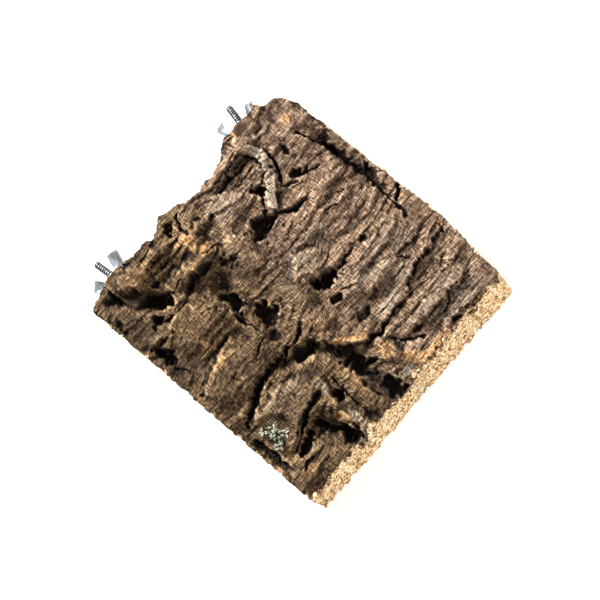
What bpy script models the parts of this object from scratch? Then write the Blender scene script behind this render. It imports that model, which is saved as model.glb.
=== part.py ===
"""Virgin cork bark slab, sawn on three sides, with two screw clamps in its natural back edge.

The slab is one piece of bark, about 200 mm square and 30 to 43 mm thick, lying bark side up.
Two M6 studs are screwed into the back edge; each carries two large washers and a wing nut,
and the bars of a cage go between the washers.  A tuft of lichen grows near the left edge.

Frame: X runs along the sawn front edge, Y points to the back where the studs are, Z is up.
The origin is on the flat underside, in the middle between the sawn sides.
"""

import math

import bpy
import numpy as np

MM = 0.001

# The slab, in millimetres
HALF_WIDTH = 103.0
FRONT = -104.0
LEVEL = 30.0
DEEPEST = 8.0
HOLLOW_START = 19.0
HIGHEST = 44.0
# The sawn sides draw in by this much towards the front
LEFT_TAPER = 4.5
LEFT_TAPER_START = 110.0
RIGHT_TAPER = 8.0
RIGHT_TAPER_START = -42.0
# The front is sawn a little out of square: how far its foot stands out midway, and more to the right
SPLAY = 3.0
SPLAY_TO_RIGHT = 1.6
# The highest bark rounds off over this much
ROUND_OFF = 4.0
COLUMNS = 68
ROWS = 72
# Ridges and flakes lean to the front by this much for each millimetre of height
LEAN = 0.4245
ROW_STEP_LEAST = 0.7
# Growth layers end in steps on the surface, this far apart and this high
LAYER_PITCH = 11.0
LAYER_STEP = 2.1
# A lip falls to its low side within this many millimetres
LIP_FALL = 3.2
# A flake rises from the bark within this many millimetres of its edge
FLAKE_EDGE = 2.0

# The clamps, in millimetres, measured along each stud from its seat on the cork
STUD_RADIUS = 3.0
STUD_HEIGHT = 17.5
STUD_REACH = 28.0
STUD_SUNK = 18.0
STUD_CHAMFER = 0.7
# The bark lies at least this thick over a stud's axis, and this much thicker at the back edge
STUD_COVER = 8.5
END_COVER = 7.5
CLEARANCE = 0.3
WASHER_RADIUS = 9.0
WASHER_THICKNESS = 1.6
SEAT_Y = 111.0
SEAT_RADIUS = 9.6
# The turning wings need this much clear all round, from this far out, and a cone that opens beyond
SWEEP_START = 3.9
SWEEP_RADIUS = 13.6
SWEEP_END = 40.0
SWEEP_END_RADIUS = 30.0
HUB_RADIUS = 6.5
HUB_TOP_RADIUS = 5.3
HUB_HEIGHT = 7.0
WING_THICKNESS = 2.0
SIDES = 24
# Where each stud leaves the cork, its angle in plan and the turn of its wings
STUDS = {
    "left": {"x": -74.0, "angle": -4.5, "wing_turn": -20.0},
    "right": {"x": 64.6, "angle": 12.6, "wing_turn": 0.0},
}

# The lichen, in millimetres
LICHEN_CENTRE = (-81.0, -55.5)
LICHEN_RADII = (8.0, 11.0)
LICHEN_BED = 31.5
LICHEN_BED_MARGIN = 12.5
LICHEN_THICKNESS = 4.2

# Raised plates of bark: centre x, centre y, half length, half width, turn in degrees, height
PLATES = [
    (88, 81, 16, 25, -15, 8.0),
    (12, 84, 17, 13, 0, 4.5),
    (-10, 98, 11, 12, 0, 3.0),
    (36, 103, 22, 8, 0, 4.0),
    (56, 105, 12, 10, 0, 5.0),
    (55, 28, 34, 26, -5, 6.0),
    (18, 7, 15, 13, 0, 5.5),
    (50, -28, 42, 20, -4, 6.0),
    (60, -75, 42, 14, -2, 4.0),
    (9, -76, 9, 12, 0, 9.0),
    (12, -46, 16, 11, -35, 3.0),
    (-22, -82, 7, 26, 0, 5.0),
    (-73, -92, 18, 12, 0, 4.0),
    (-66, -46, 31, 15, -8, 7.0),
    (-68, -4, 35, 20, -5, 7.0),
    (-62, 40, 24, 18, 0, 7.0),
    (-38, 72, 20, 9, -5, 9.0),
    (-68, 100, 15, 15, 0, 11.0),
    (-94, 92, 8, 18, 0, 2.0),
    (-20, 82, 10, 16, 0, 7.0),
    (-45, 100, 14, 9, 0, 4.0),
    (48, 85, 12, 9, 0, 3.0),
]

# Ridges and valleys of the whole slab: points, half width, rise (a fall is negative)
FOLDS = [
    ([(-3, 70), (-3, 50), (0, 20), (-6, -20), (-5, -42)], 15, 10.0),
    ([(-24, 58), (-31, 34), (-26, 8), (-29, -14)], 12, -9.0),
    ([(-48, -21), (-33, -30), (-19, -38), (-8, -56)], 9, -8.0),
    ([(-10, -50), (-8, -72), (-8, -90), (-6, -112)], 10, -12.0),
    ([(-86, 110), (-79, 95), (-71, 82), (-62, 70)], 11, -15.0),
    ([(-57, -70), (-51, -88), (-48, -112)], 8, -9.0),
    ([(88, 78), (94, 58), (94, 20), (91, -10)], 9, -9.0),
    ([(-42, -68), (-38, -90), (-36, -110)], 6, 7.0),
    ([(-62, -60), (-48, -63), (-40, -66)], 6, 4.0),
    ([(-98, -45), (-98, -80)], 6, -6.0),
    ([(-96, 62), (-92, 40), (-96, 22)], 7, -5.0),
]

# Lips, each a step along a line with its high side on the left: points, run, height
LIPS = [
    ([(-14, -32), (-11, -42), (-3, -52), (5, -59), (16, -64)], 13, 7.0),
    ([(-90, 112), (-82, 103), (-75, 92), (-68, 80), (-58, 74)], 14, 6.0),
    ([(36, 4), (30, 14), (20, 17), (10, 12), (4, 0)], 12, 3.0),
    ([(-42, -76), (-37, -60), (-34, -48)], 14, 5.0),
    ([(26, 55), (38, 46), (50, 42), (62, 43)], 12, 4.0),
    ([(9, 44), (5, 57), (0, 65), (-8, 72)], 12, 4.0),
    ([(3, -3), (14, -5), (28, -7), (46, -9)], 14, 5.5),
    ([(8, -62), (24, -64), (44, -62), (56, -55), (66, -51), (80, -52), (102, -50)], 16, 4.5),
    ([(-96, -38), (-85, -28), (-76, -24), (-55, -20), (-38, -18)], 16, 4.5),
    ([(-86, -69), (-68, -63), (-54, -59), (-38, -57)], 16, 9.0),
    ([(-58, 58), (-45, 64), (-30, 64), (-16, 62)], 13, 6.0),
    ([(14, 98), (34, 96), (58, 100)], 9, 4.5),
    ([(-54, 99), (-38, 97), (-28, 100)], 8, 4.0),
    ([(40, 60), (54, 57), (70, 57)], 9, 2.8),
    ([(46, 23), (66, 19), (84, 20)], 8, 2.6),
    ([(24, -44), (44, -40), (62, -38), (82, -41)], 9, 2.8),
    ([(18, -78), (40, -80), (60, -82), (94, -84)], 9, 3.0),
    ([(44, -98), (60, -97), (88, -99)], 8, 3.5),
    ([(-92, -83), (-78, -81), (-62, -84)], 8, 3.0),
    ([(-98, 55), (-88, 54), (-80, 57)], 8, 3.0),
    ([(-80, 22), (-66, 20), (-46, 22)], 9, 2.6),
    ([(-46, 19), (-62, 14), (-78, 9), (-99, 2)], 30, 5.0),
    ([(-40, 57), (-62, 58), (-80, 54)], 28, 4.0),
    ([(-42, -26), (-60, -28), (-78, -32), (-90, -40)], 26, 4.0),
]

# Furrows and cracks: points, half width, depth
FURROWS = [
    ([(-38, -20), (-50, -22), (-62, -26), (-72, -27), (-80, -30), (-89, -32), (-97, -40)], 2.4, 7),
    ([(3, -63), (14, -65), (30, -64), (44, -62)], 2.5, 7),
    ([(44, -62), (56, -56), (66, -53), (80, -53), (101, -51)], 2.4, 5),
    ([(28, 55), (38, 46), (50, 42), (60, 42)], 2.8, 7),
    ([(30, -12), (40, -12), (48, -10)], 2.4, 5),
    ([(84, 80), (88, 66), (90, 56)], 2.4, 8),
    ([(90, 62), (93, 46), (93, 22), (91, 4)], 6.4, 9),
    ([(91, 8), (89, -10), (88, -30)], 2.4, 6),
    ([(62, 82), (58, 75), (53, 62), (50, 52)], 2.4, 5),
    ([(18, 93), (30, 94), (40, 92), (60, 93)], 2.4, 6),
    ([(18, 101), (34, 98), (58, 100)], 2.4, 5),
    ([(-48, 61), (-38, 64), (-20, 63)], 3.4, 8),
    ([(-78, 62), (-64, 58), (-52, 58)], 2.4, 5),
    ([(-38, -58), (-55, -61), (-66, -68), (-84, -75)], 3.2, 8),
    ([(-60, -70), (-54, -82), (-47, -95)], 3.4, 7),
    ([(-45, -26), (-35, -23), (-20, -22), (-10, -15)], 2.8, 6),
    ([(20, -79), (28, -88), (34, -92)], 2.4, 5),
    ([(-97, 54), (-86, 53), (-80, 50)], 2.6, 6),
    ([(90, -14), (101, -7)], 2.6, 7),
    ([(92, 16), (97, 20), (101, 22)], 2.6, 7),
    ([(-96, -46), (-95, -60), (-95, -80)], 2.6, 7),
    ([(-10, 110), (-16, 100), (-17, 90)], 2.6, 5),
    ([(-40, 28), (-38, 14), (-36, 2)], 2.4, 5),
]

# Pits and hollows: centre x, centre y, half length, half width, turn in degrees, depth
PITS = [
    (-73, 87, 13, 5.5, -58, 13),
    (-65, 73, 8, 6, -30, 13),
    (-76, 64, 6, 6, 0, 11),
    (-34, 32, 6, 9, 15, 15),
    (-37, 20, 2.5, 6, 0, 6),
    (-24, 6, 7, 9, 0, 13),
    (-15, 52, 6, 8, 0, 6),
    (-9, -67, 7.5, 13, 8, 13),
    (-28, -32, 12, 5, -20, 8),
    (-5, -98, 8, 9, 0, 11),
    (20, 50, 14, 10, -12, 13),
    (22, -12, 10, 5, -10, 13),
    (15, -25, 3.5, 3.5, 0, 7),
    (65, 54, 5, 4.5, 30, 12),
    (40, 71, 4.5, 4.5, 20, 10),
    (-73, -77, 9, 4, 10, 11),
    (-47, -96, 7, 9, 0, 13),
    (-35, -70, 4, 6, 0, 9),
    (-58, 84, 3.5, 3, 0, 6),
    (-23, 107, 4.5, 5, 0, 8),
    (-92, 42, 5, 9, 0, 9),
    (-60, -78, 6, 6, 0, 6),
    (96, 14, 3, 7, 0, 7),
    (92, 50, 3, 10, 0, 6),
]

# Loose flakes that stand a little proud: points, half width, height
FLAKES = [
    ([(57, 98), (53, 83)], 4.2, 3.6),
    ([(51, 77), (46, 67), (38, 55)], 4.4, 3.6),
]

# Plates whose growth lines arch: centre x, centre y, half length, half width, rise of the arch
ARCHES = [
    (-60, 42, 24, 22, 7.0),
    (-68, 4, 40, 22, 9.0),
    (-66, -45, 36, 18, 5.0),
    (50, 20, 45, 30, 4.0),
    (18, 8, 18, 12, 8.0),
    (50, -25, 45, 20, -3.0),
    (-35, 72, 24, 10, 7.0),
    (60, -75, 44, 16, 3.0),
]

# The back edge as seen from above: x, y
BACK_EDGE = [
    (-103, 111),
    (-95, 113),
    (-86, 116),
    (-72, 118.5),
    (-60, 116.5),
    (-54, 114.5),
    (-44, 115),
    (-35, 110.5),
    (-28, 115),
    (-22, 118.5),
    (-14, 116.5),
    (-6, 114),
    (-2, 109.5),
    (10, 107.5),
    (22, 107),
    (34, 108.5),
    (40, 111.5),
    (44, 116),
    (51, 119.5),
    (62, 117.5),
    (74, 116.5),
    (78, 116.5),
    (81, 121),
    (85, 112),
    (93, 109),
    (98, 105),
    (103, 93),
]


def smooth(t):
    """0 below 0, 1 above 1 and an even slope between."""
    t = np.clip(t, 0.0, 1.0)
    return t * t * (3.0 - 2.0 * t)


def noise(x, y, cell, seed):
    """Rolling ground between -1 and 1: a seeded value at each corner of square cells, blended between."""
    lattice = np.random.default_rng(seed).uniform(-1.0, 1.0, (64, 64))
    u = x / cell + 31.0
    v = y / cell + 31.0
    i = np.floor(u).astype(int)
    j = np.floor(v).astype(int)
    s = smooth(u - i)
    t = smooth(v - j)
    near = lattice[i % 64, j % 64] * (1.0 - s) + lattice[(i + 1) % 64, j % 64] * s
    far = lattice[i % 64, (j + 1) % 64] * (1.0 - s) + lattice[(i + 1) % 64, (j + 1) % 64] * s
    return near * (1.0 - t) + far * t


def from_line(points, x, y):
    """Distance to a broken line (positive on its left) and how far along it the nearest point is, 0 to 1."""
    points = np.array(points, dtype=float)
    lengths = np.hypot(*np.diff(points, axis=0).T)
    starts = np.concatenate(([0.0], np.cumsum(lengths)))
    best = np.full(x.shape, 1e9)
    along = np.zeros(x.shape)
    for k, length in enumerate(lengths):
        step = (points[k + 1] - points[k]) / length
        dx = x - points[k, 0]
        dy = y - points[k, 1]
        t = np.clip(dx * step[0] + dy * step[1], 0.0, length)
        gap = np.hypot(dx - t * step[0], dy - t * step[1])
        left = np.where(step[0] * dy - step[1] * dx >= 0.0, 1.0, -1.0)
        nearer = gap < np.abs(best)
        best = np.where(nearer, left * gap, best)
        along = np.where(nearer, (starts[k] + t) / starts[-1], along)
    return best, along


def from_centre(shape, x, y):
    """Distance from an ellipse's centre as a share of its radius, 1 on its outline."""
    cx, cy, long, short, turn = shape[:5]
    c = math.cos(math.radians(turn))
    s = math.sin(math.radians(turn))
    u = ((x - cx) * c + (y - cy) * s) / long
    v = ((y - cy) * c - (x - cx) * s) / short
    return np.hypot(u, v)


def growth_line(x, y):
    """The level, in mm along y, of the growth line through (x, y); the lines bend over each plate."""
    bend = 1.5 * noise(x, y, 26.0, 40)
    for cx, cy, long, short, rise in ARCHES:
        near = smooth(1.5 * (1.25 - from_centre((cx, cy, long, short, 0.0), x, y)))
        bend = bend + near * rise * ((x - cx) / long) ** 2
    return y + bend


def bark_height(seen_x, seen_y):
    """Height of the bark, in mm, over the point that shows at these x and y on the 30 mm level."""
    x = seen_x + 1.2 * noise(seen_x, seen_y, 17.0, 3) + 1.4 * noise(seen_x, seen_y, 6.5, 33)
    y = seen_y + 1.1 * noise(seen_x, seen_y, 15.0, 4) + 1.4 * noise(seen_x, seen_y, 5.5, 34)
    height = LEVEL - 1.5 + 2.2 * noise(x, y, 48.0, 1) + 2.6 * noise(0.55 * x, y, 13.0, 2)
    for plate in PLATES:
        height = height + 1.15 * plate[5] * smooth(1.35 * (1.12 - from_centre(plate, x, y)))
    for points, half, rise in FOLDS:
        gap, along = from_line(points, x, y)
        ends = smooth(5.0 * along + 0.3) * smooth(5.0 * (1.0 - along) + 0.3)
        height = height + rise * ends * smooth(1.0 - np.abs(gap) / half)
    for points, run, rise in LIPS:
        gap, along = from_line(points, x, y)
        ends = smooth(5.0 * along) * smooth(5.0 * (1.0 - along))
        side = np.where(gap > 0.0, 1.0 - smooth(gap / run), 1.0 - smooth(-gap / LIP_FALL))
        height = height + rise * ends * side
    # Growth layers end in steps, one behind another, most of them facing front
    line = (0.12 * height - growth_line(seen_x, seen_y)) / LAYER_PITCH
    line = line + 0.8 * noise(seen_x, 1.5 * seen_y, 24.0, 80) + 0.25 * noise(seen_x, seen_y, 6.0, 89)
    share = line - np.floor(line)
    broken = smooth(0.55 + 1.1 * noise(seen_x, 2.0 * seen_y, 17.0, 85))
    height = height + LAYER_STEP * broken * (share - 1.1 * smooth((share - 0.75) / 0.25))
    for points, half, rise in FLAKES:
        gap, along = from_line(points, x, y)
        height = height + rise * smooth((half - np.abs(gap)) / FLAKE_EDGE)
    for points, half, depth in FURROWS:
        gap, along = from_line(points, x, y)
        ends = smooth(6.0 * along + 0.1) * smooth(6.0 * (1.0 - along) + 0.1)
        height = height - depth * ends * smooth(1.4 * (1.0 - np.abs(gap) / half))
    for pit in PITS:
        height = height - pit[5] * smooth(1.5 * (1.05 - from_centre(pit, x, y)))
    # The deepest hollows level out, so that none of them cuts through
    fall = np.minimum(height - HOLLOW_START, 0.0) / (HOLLOW_START - DEEPEST)
    height = np.maximum(height, HOLLOW_START) - (HOLLOW_START - DEEPEST) * (1.0 - np.exp(fall))
    over = np.maximum(height - HIGHEST + ROUND_OFF, 0.0)
    return np.minimum(height, HIGHEST - ROUND_OFF) + ROUND_OFF * (1.0 - np.exp(-over / ROUND_OFF))


def slab_height(x, y):
    """The bark, kept thick over the sunk studs, thicker at their ends, and flat under the lichen."""
    height = bark_height(x, y)
    for stud in STUDS.values():
        across = np.abs(x - stud["x"]) / 9.0
        over = smooth(2.0 * (1.4 - across)) * smooth((y - 78.0) / 8.0)
        cover = STUD_COVER + END_COVER * smooth((y - 98.0) / 10.0)
        height = np.maximum(height, (STUD_HEIGHT + cover) * over)
    long, short = (radius + LICHEN_BED_MARGIN for radius in LICHEN_RADII)
    bed = smooth(3.0 * (1.0 - from_centre((*LICHEN_CENTRE, long, short, 0.0), x, y)))
    return height * (1.0 - bed) + LICHEN_BED * bed


def material(name, colour, roughness, metallic=0.0):
    """A plain surface of one colour, given as red, green and blue in linear light."""
    made = bpy.data.materials.new(name)
    made.use_nodes = True
    shader = made.node_tree.nodes["Principled BSDF"]
    shader.inputs["Base Color"].default_value = (*colour, 1.0)
    shader.inputs["Roughness"].default_value = roughness
    shader.inputs["Metallic"].default_value = metallic
    made.diffuse_color = (*colour, 1.0)
    return made


def add_object(name, data, collection, finish=None):
    """A new object in a collection, with its material."""
    made = bpy.data.objects.new(name, data)
    collection.objects.link(made)
    if finish is not None:
        data.materials.append(finish)
    return made


def slab_mesh():
    """The slab as one closed skin: a grid over the bark, two rings round the edge and a flat base."""
    column = np.linspace(-HALF_WIDTH, HALF_WIDTH, COLUMNS + 1)
    back = np.interp(column, *np.array(BACK_EDGE, dtype=float).T)
    # The top of the sawn front is straight, so it shows further back where the bark is higher
    front = np.full(column.shape, FRONT)
    for _ in range(12):
        front = 0.5 * front + 0.5 * (FRONT + LEAN * (slab_height(column, front) - LEVEL))
    share = np.linspace(0.0, 1.0, ROWS + 1)[:, None]
    x = np.repeat(column[None, :], ROWS + 1, axis=0)
    seen = front + (back - front) * share
    z = slab_height(x, seen)
    left = np.clip((LEFT_TAPER_START - seen) / (LEFT_TAPER_START - FRONT), 0.0, 1.0)
    right = np.clip((RIGHT_TAPER_START - seen) / (RIGHT_TAPER_START - FRONT), 0.0, 1.0)
    x = x + LEFT_TAPER * left * smooth((-x - 55.0) / 45.0) - RIGHT_TAPER * right * smooth((x - 55.0) / 45.0)
    y = seen - LEAN * (z - LEVEL)
    y[0] = FRONT
    steps = ROW_STEP_LEAST * np.arange(ROWS + 1)[:, None]
    y = np.maximum.accumulate(y - steps, axis=0) + steps
    grid = np.arange(x.size).reshape(x.shape)
    rim = np.concatenate((grid[0, :-1], grid[:-1, -1], grid[-1, :0:-1], grid[:0:-1, 0]))
    rim_x = x.ravel()[rim]
    rim_y = y.ravel()[rim]
    rim_z = z.ravel()[rim]
    # Only the back edge is natural: below its crest it bulges at the studs and is ragged between
    natural = np.isin(rim, grid[-1]) * smooth((HALF_WIDTH - np.abs(rim_x)) / 12.0)
    bulge = np.zeros(rim.shape)
    for stud in STUDS.values():
        bulge = np.maximum(bulge, smooth(2.0 - np.abs(rim_x - stud["x"]) / 13.0))
    foot = (SPLAY + SPLAY_TO_RIGHT * rim_x / HALF_WIDTH) * smooth((-60.0 - rim_y) / 44.0)
    middle_y = 103.5 + 10.5 * bulge + 1.8 * noise(rim_x, rim_y, 9.0, 6)
    middle_y = rim_y + natural * (middle_y - rim_y) - 0.5 * foot
    base_y = 101.5 + 11.5 * bulge + 1.2 * noise(rim_x, rim_y, 11.0, 7)
    base_y = rim_y + natural * (base_y - rim_y) - foot
    top = np.column_stack((x.ravel(), y.ravel(), z.ravel()))
    middle = np.column_stack((rim_x, middle_y, 0.5 * rim_z))
    base = np.column_stack((rim_x, base_y, np.zeros(rim.shape)))
    count = len(rim)
    rings = [rim, x.size + np.arange(count), x.size + count + np.arange(count)]
    faces = np.stack((grid[:-1, :-1], grid[:-1, 1:], grid[1:, 1:], grid[1:, :-1]), axis=-1)
    faces = faces.reshape(-1, 4).tolist()
    for upper, lower in zip(rings, rings[1:]):
        faces += np.column_stack((lower, np.roll(lower, -1), np.roll(upper, -1), upper)).tolist()
    faces.append(rings[2][::-1].tolist())
    mesh = bpy.data.meshes.new("cork_slab")
    mesh.from_pydata((np.concatenate((top, middle, base)) * MM).tolist(), [], faces)
    return mesh


def lichen_mesh():
    """A flat-based cushion with a lobed outline, domed and lumpy, as rings round its centre."""
    rings = 5
    around = 30
    turn = 2.0 * math.pi * np.arange(around) / around
    lobes = 1.0 + 0.16 * np.sin(5.0 * turn + 0.6) + 0.10 * np.sin(9.0 * turn)
    share = np.arange(1, rings + 1)[:, None] / rings
    seat = LICHEN_BED + CLEARANCE
    x = LICHEN_CENTRE[0] + LICHEN_RADII[0] * share * lobes * np.cos(turn)
    y = LICHEN_CENTRE[1] + LICHEN_RADII[1] * share * lobes * np.sin(turn) - LEAN * (seat - LEVEL)
    lumps = 0.75 + 0.25 * np.sin(1.3 * x) * np.cos(1.1 * y)
    z = seat + 1.0 + (LICHEN_THICKNESS - 1.0) * (1.0 - share**2.5) * lumps
    rim = np.column_stack((x[-1], y[-1], np.full(around, seat)))
    crown = [[LICHEN_CENTRE[0], LICHEN_CENTRE[1] - LEAN * (seat - LEVEL), seat + LICHEN_THICKNESS]]
    points = np.concatenate((crown, np.column_stack((x.ravel(), y.ravel(), z.ravel())), rim))
    index = 1 + np.arange((rings + 1) * around).reshape(rings + 1, around)
    following = np.roll(index, -1, axis=1)
    faces = np.stack((index[:-1], index[1:], following[1:], following[:-1]), axis=-1)
    faces = faces.reshape(-1, 4).tolist()
    faces += np.column_stack((np.zeros(around, int), index[0], following[0])).tolist()
    faces.append(index[-1][::-1].tolist())
    mesh = bpy.data.meshes.new("lichen_tuft")
    mesh.from_pydata((points * MM).tolist(), [], faces)
    return mesh


def turned(name, profile, collection, finish=None):
    """A round piece: its outline in radius and height, in mm, swept once round Z."""
    mesh = bpy.data.meshes.new(name)
    points = [(radius * MM, 0.0, height * MM) for radius, height in profile]
    edges = [(k, k + 1) for k in range(len(points) - 1)]
    if profile[0][0] > 0.0:
        edges.append((len(points) - 1, 0))
    mesh.from_pydata(points, edges, [])
    made = add_object(name, mesh, collection, finish)
    screw = made.modifiers.new("turn", "SCREW")
    screw.steps = SIDES
    screw.render_steps = SIDES
    screw.use_merge_vertices = True
    screw.merge_threshold = 0.00001
    return made


def settled_mesh(made):
    """The mesh that an object's modifiers make of it."""
    graph = bpy.context.evaluated_depsgraph_get()
    return bpy.data.meshes.new_from_object(made.evaluated_get(graph))


def wing_plate(name, outward, collection):
    """One wing: a flat outline in radius and height, half on each side of the axis plane."""
    outline = [(3.9, 1.2), (12.2, 1.2), (12.9, 2.0), (18.6, 14.2), (18.3, 15.4),
               (10.4, 19.4), (9.6, 19.1), (4.6, 6.4)]
    curve = bpy.data.curves.new(name, "CURVE")
    curve.dimensions = "2D"
    curve.fill_mode = "BOTH"
    curve.extrude = 0.5 * WING_THICKNESS * MM
    spline = curve.splines.new("POLY")
    spline.points.add(len(outline) - 1)
    for point, (radius, height) in zip(spline.points, outline):
        point.co = (outward * radius * MM, height * MM, 0.0, 1.0)
    spline.use_cyclic_u = True
    flat = add_object(name, curve, collection)
    mesh = settled_mesh(flat)
    bpy.data.objects.remove(flat)
    made = add_object(name, mesh, collection)
    made.rotation_euler = (math.radians(90.0), 0.0, 0.0)
    weld = made.modifiers.new("weld", "WELD")
    weld.merge_threshold = 0.00001
    return made


def cut(target, tool, operation):
    """Join a tool to a piece, or cut it out, and mark the tool as a guide."""
    tool.hide_render = True
    tool.display_type = "WIRE"
    joint = target.modifiers.new(tool.name, "BOOLEAN")
    joint.operation = operation
    joint.object = tool


def wing_nut_mesh(collection):
    """A wing nut standing on Z: a tapered hub, two wings and a plain bore that clears the thread."""
    hub = turned("nut_hub", [
        (0.0, HUB_HEIGHT), (HUB_TOP_RADIUS, HUB_HEIGHT), (HUB_RADIUS, 2.0),
        (HUB_RADIUS, 0.0), (0.0, 0.0),
    ], collection)
    bore_radius = STUD_RADIUS + CLEARANCE
    bore = turned("nut_bore", [
        (0.0, HUB_HEIGHT + 10.0), (bore_radius, HUB_HEIGHT + 10.0), (bore_radius, -2.0), (0.0, -2.0),
    ], collection)
    for outward in (-1.0, 1.0):
        cut(hub, wing_plate("nut_wing", outward, collection), "UNION")
    cut(hub, bore, "DIFFERENCE")
    bpy.context.view_layer.update()
    mesh = settled_mesh(hub)
    for helper in list(collection.objects):
        bpy.data.objects.remove(helper)
    mesh.name = "wing_nut"
    return mesh


def build():
    """Clear the scene and make the slab, its lichen and its two clamps."""
    for old in list(bpy.data.objects):
        bpy.data.objects.remove(old)
    scene = bpy.context.scene.collection
    part = bpy.data.collections.new("cork_bark_slab")
    tools = bpy.data.collections.new("cutters")
    scene.children.link(part)
    scene.children.link(tools)

    bark = material("cork_bark", (0.20, 0.145, 0.105), 0.92)
    zinc = material("zinc_plated_steel", (0.72, 0.74, 0.76), 0.32, 1.0)
    lichen = material("lichen", (0.45, 0.46, 0.38), 0.95)

    nut_mesh = wing_nut_mesh(tools)
    nut_mesh.materials.append(zinc)
    slab = add_object("cork_slab", slab_mesh(), part, bark)
    add_object("lichen_tuft", lichen_mesh(), part, lichen)

    for side, stud in STUDS.items():
        axis = bpy.data.objects.new(side + "_stud_axis", None)
        part.objects.link(axis)
        axis.location = (stud["x"] * MM, SEAT_Y * MM, STUD_HEIGHT * MM)
        axis.rotation_euler = (math.radians(-90.0), 0.0, math.radians(-stud["angle"]))
        rod = turned(side + "_stud", [
            (0.0, STUD_REACH), (STUD_RADIUS - STUD_CHAMFER, STUD_REACH),
            (STUD_RADIUS, STUD_REACH - STUD_CHAMFER), (STUD_RADIUS, -STUD_SUNK), (0.0, -STUD_SUNK),
        ], part, zinc)
        rod.parent = axis
        height = CLEARANCE
        for place in ("inner", "outer"):
            bore_radius = STUD_RADIUS + CLEARANCE
            washer = turned(f"{side}_{place}_washer", [
                (bore_radius, WASHER_THICKNESS), (WASHER_RADIUS, WASHER_THICKNESS),
                (WASHER_RADIUS, 0.0), (bore_radius, 0.0),
            ], part, zinc)
            washer.parent = axis
            washer.location.z = height * MM
            height += WASHER_THICKNESS + CLEARANCE
        nut = add_object(side + "_wing_nut", nut_mesh, part)
        nut.parent = axis
        nut.location.z = height * MM
        nut.rotation_euler.z = math.radians(stud["wing_turn"])
        # The washer beds into a spot faced flat, the cork is pared back clear of the turning
        # wings, and the stud fills a hole that it screws into
        seat = turned(side + "_seat_cutter", [
            (0.0, SWEEP_END), (SWEEP_END_RADIUS, SWEEP_END), (SWEEP_RADIUS, SWEEP_START),
            (SEAT_RADIUS, SWEEP_START), (SEAT_RADIUS, 0.0), (0.0, 0.0),
        ], tools)
        hole_radius = STUD_RADIUS + CLEARANCE
        hole_depth = STUD_SUNK + CLEARANCE
        hole = turned(side + "_hole_cutter", [
            (0.0, 5.0), (hole_radius, 5.0), (hole_radius, -hole_depth), (0.0, -hole_depth),
        ], tools)
        for tool in (seat, hole):
            tool.parent = axis
            cut(slab, tool, "DIFFERENCE")


build()
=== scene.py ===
import math

import bpy
import numpy as np
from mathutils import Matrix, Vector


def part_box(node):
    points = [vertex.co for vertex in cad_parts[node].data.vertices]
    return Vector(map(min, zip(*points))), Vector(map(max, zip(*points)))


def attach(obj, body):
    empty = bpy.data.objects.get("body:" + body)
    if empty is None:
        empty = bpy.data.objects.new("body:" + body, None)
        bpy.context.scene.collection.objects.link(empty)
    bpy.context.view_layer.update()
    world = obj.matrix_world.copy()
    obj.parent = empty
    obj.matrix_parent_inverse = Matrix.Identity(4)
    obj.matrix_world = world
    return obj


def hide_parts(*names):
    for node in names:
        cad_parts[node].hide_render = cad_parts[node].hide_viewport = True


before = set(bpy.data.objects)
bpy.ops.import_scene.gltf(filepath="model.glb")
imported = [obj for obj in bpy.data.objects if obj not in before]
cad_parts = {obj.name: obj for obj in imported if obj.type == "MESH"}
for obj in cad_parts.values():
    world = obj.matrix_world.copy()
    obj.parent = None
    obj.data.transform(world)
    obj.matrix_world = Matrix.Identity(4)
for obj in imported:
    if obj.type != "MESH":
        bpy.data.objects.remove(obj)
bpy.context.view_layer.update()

# Camera: above the front edge, 23 degrees off the vertical, rolled so that the sawn front edge
# runs up to the right, as the photograph shows the slab.
LOOK_AT = (-0.0021, -0.0056, 0.030)
LENS_MM = 100.0
SENSOR_MM = 36.0
VIEW_WIDTH = 0.4054
OFF_VERTICAL = math.radians(23.0)
ROLL = math.radians(50.0)


def camera_axes(tip, roll):
    """Right, up and back: the level right and tipped up directions, both turned by the roll."""
    right = np.array([1.0, 0.0, 0.0])
    up = np.array([0.0, math.cos(tip), math.sin(tip)])
    back = np.array([0.0, -math.sin(tip), math.cos(tip)])
    turned_right = math.cos(roll) * right - math.sin(roll) * up
    turned_up = math.sin(roll) * right + math.cos(roll) * up
    return np.column_stack((turned_right, turned_up, back))


axes = camera_axes(OFF_VERTICAL, ROLL)
placed = np.eye(4)
placed[:3, :3] = axes
placed[:3, 3] = np.array(LOOK_AT) + axes[:, 2] * VIEW_WIDTH * LENS_MM / SENSOR_MM
lens = bpy.data.cameras.new("camera")
lens.lens = LENS_MM
lens.sensor_width = SENSOR_MM
lens.clip_start = 0.01
camera = bpy.data.objects.new("camera", lens)
bpy.context.collection.objects.link(camera)
camera.matrix_world = placed.T.tolist()
bpy.context.scene.camera = camera


# Floor and light: a plain white sweep, one large soft lamp over the back edge that rakes across
# the bark, a weaker one in front for the sawn face, a faint panel that the flat steel reflects,
# and a pale room.
KEY_WATTS = 34.0
FRONT_WATTS = 8.0
PANEL_WATTS = 0.4
ROOM_LIGHT = 0.62
FLOOR_GLOW = 0.35


def tone(code, alpha=1.0):
    """An sRGB hex colour as linear red, green, blue and alpha, by the standard's two part curve."""
    parts = np.array([int(code[k:k + 2], 16) for k in (1, 3, 5)]) / 255.0
    linear = np.where(parts <= 0.04045, parts / 12.92, ((parts + 0.055) / 1.055) ** 2.4)
    return (*linear.tolist(), alpha)


def plug(tree, made, inputs):
    """Set or link a node's inputs, in order or as (socket, value); a node gives its first output."""
    for k, value in enumerate(inputs):
        socket, value = value if isinstance(value, tuple) else (k, value)
        if isinstance(value, bpy.types.Node):
            value = value.outputs[0]
        if isinstance(value, bpy.types.NodeSocket):
            tree.links.new(value, made.inputs[socket])
        else:
            made.inputs[socket].default_value = value


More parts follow.
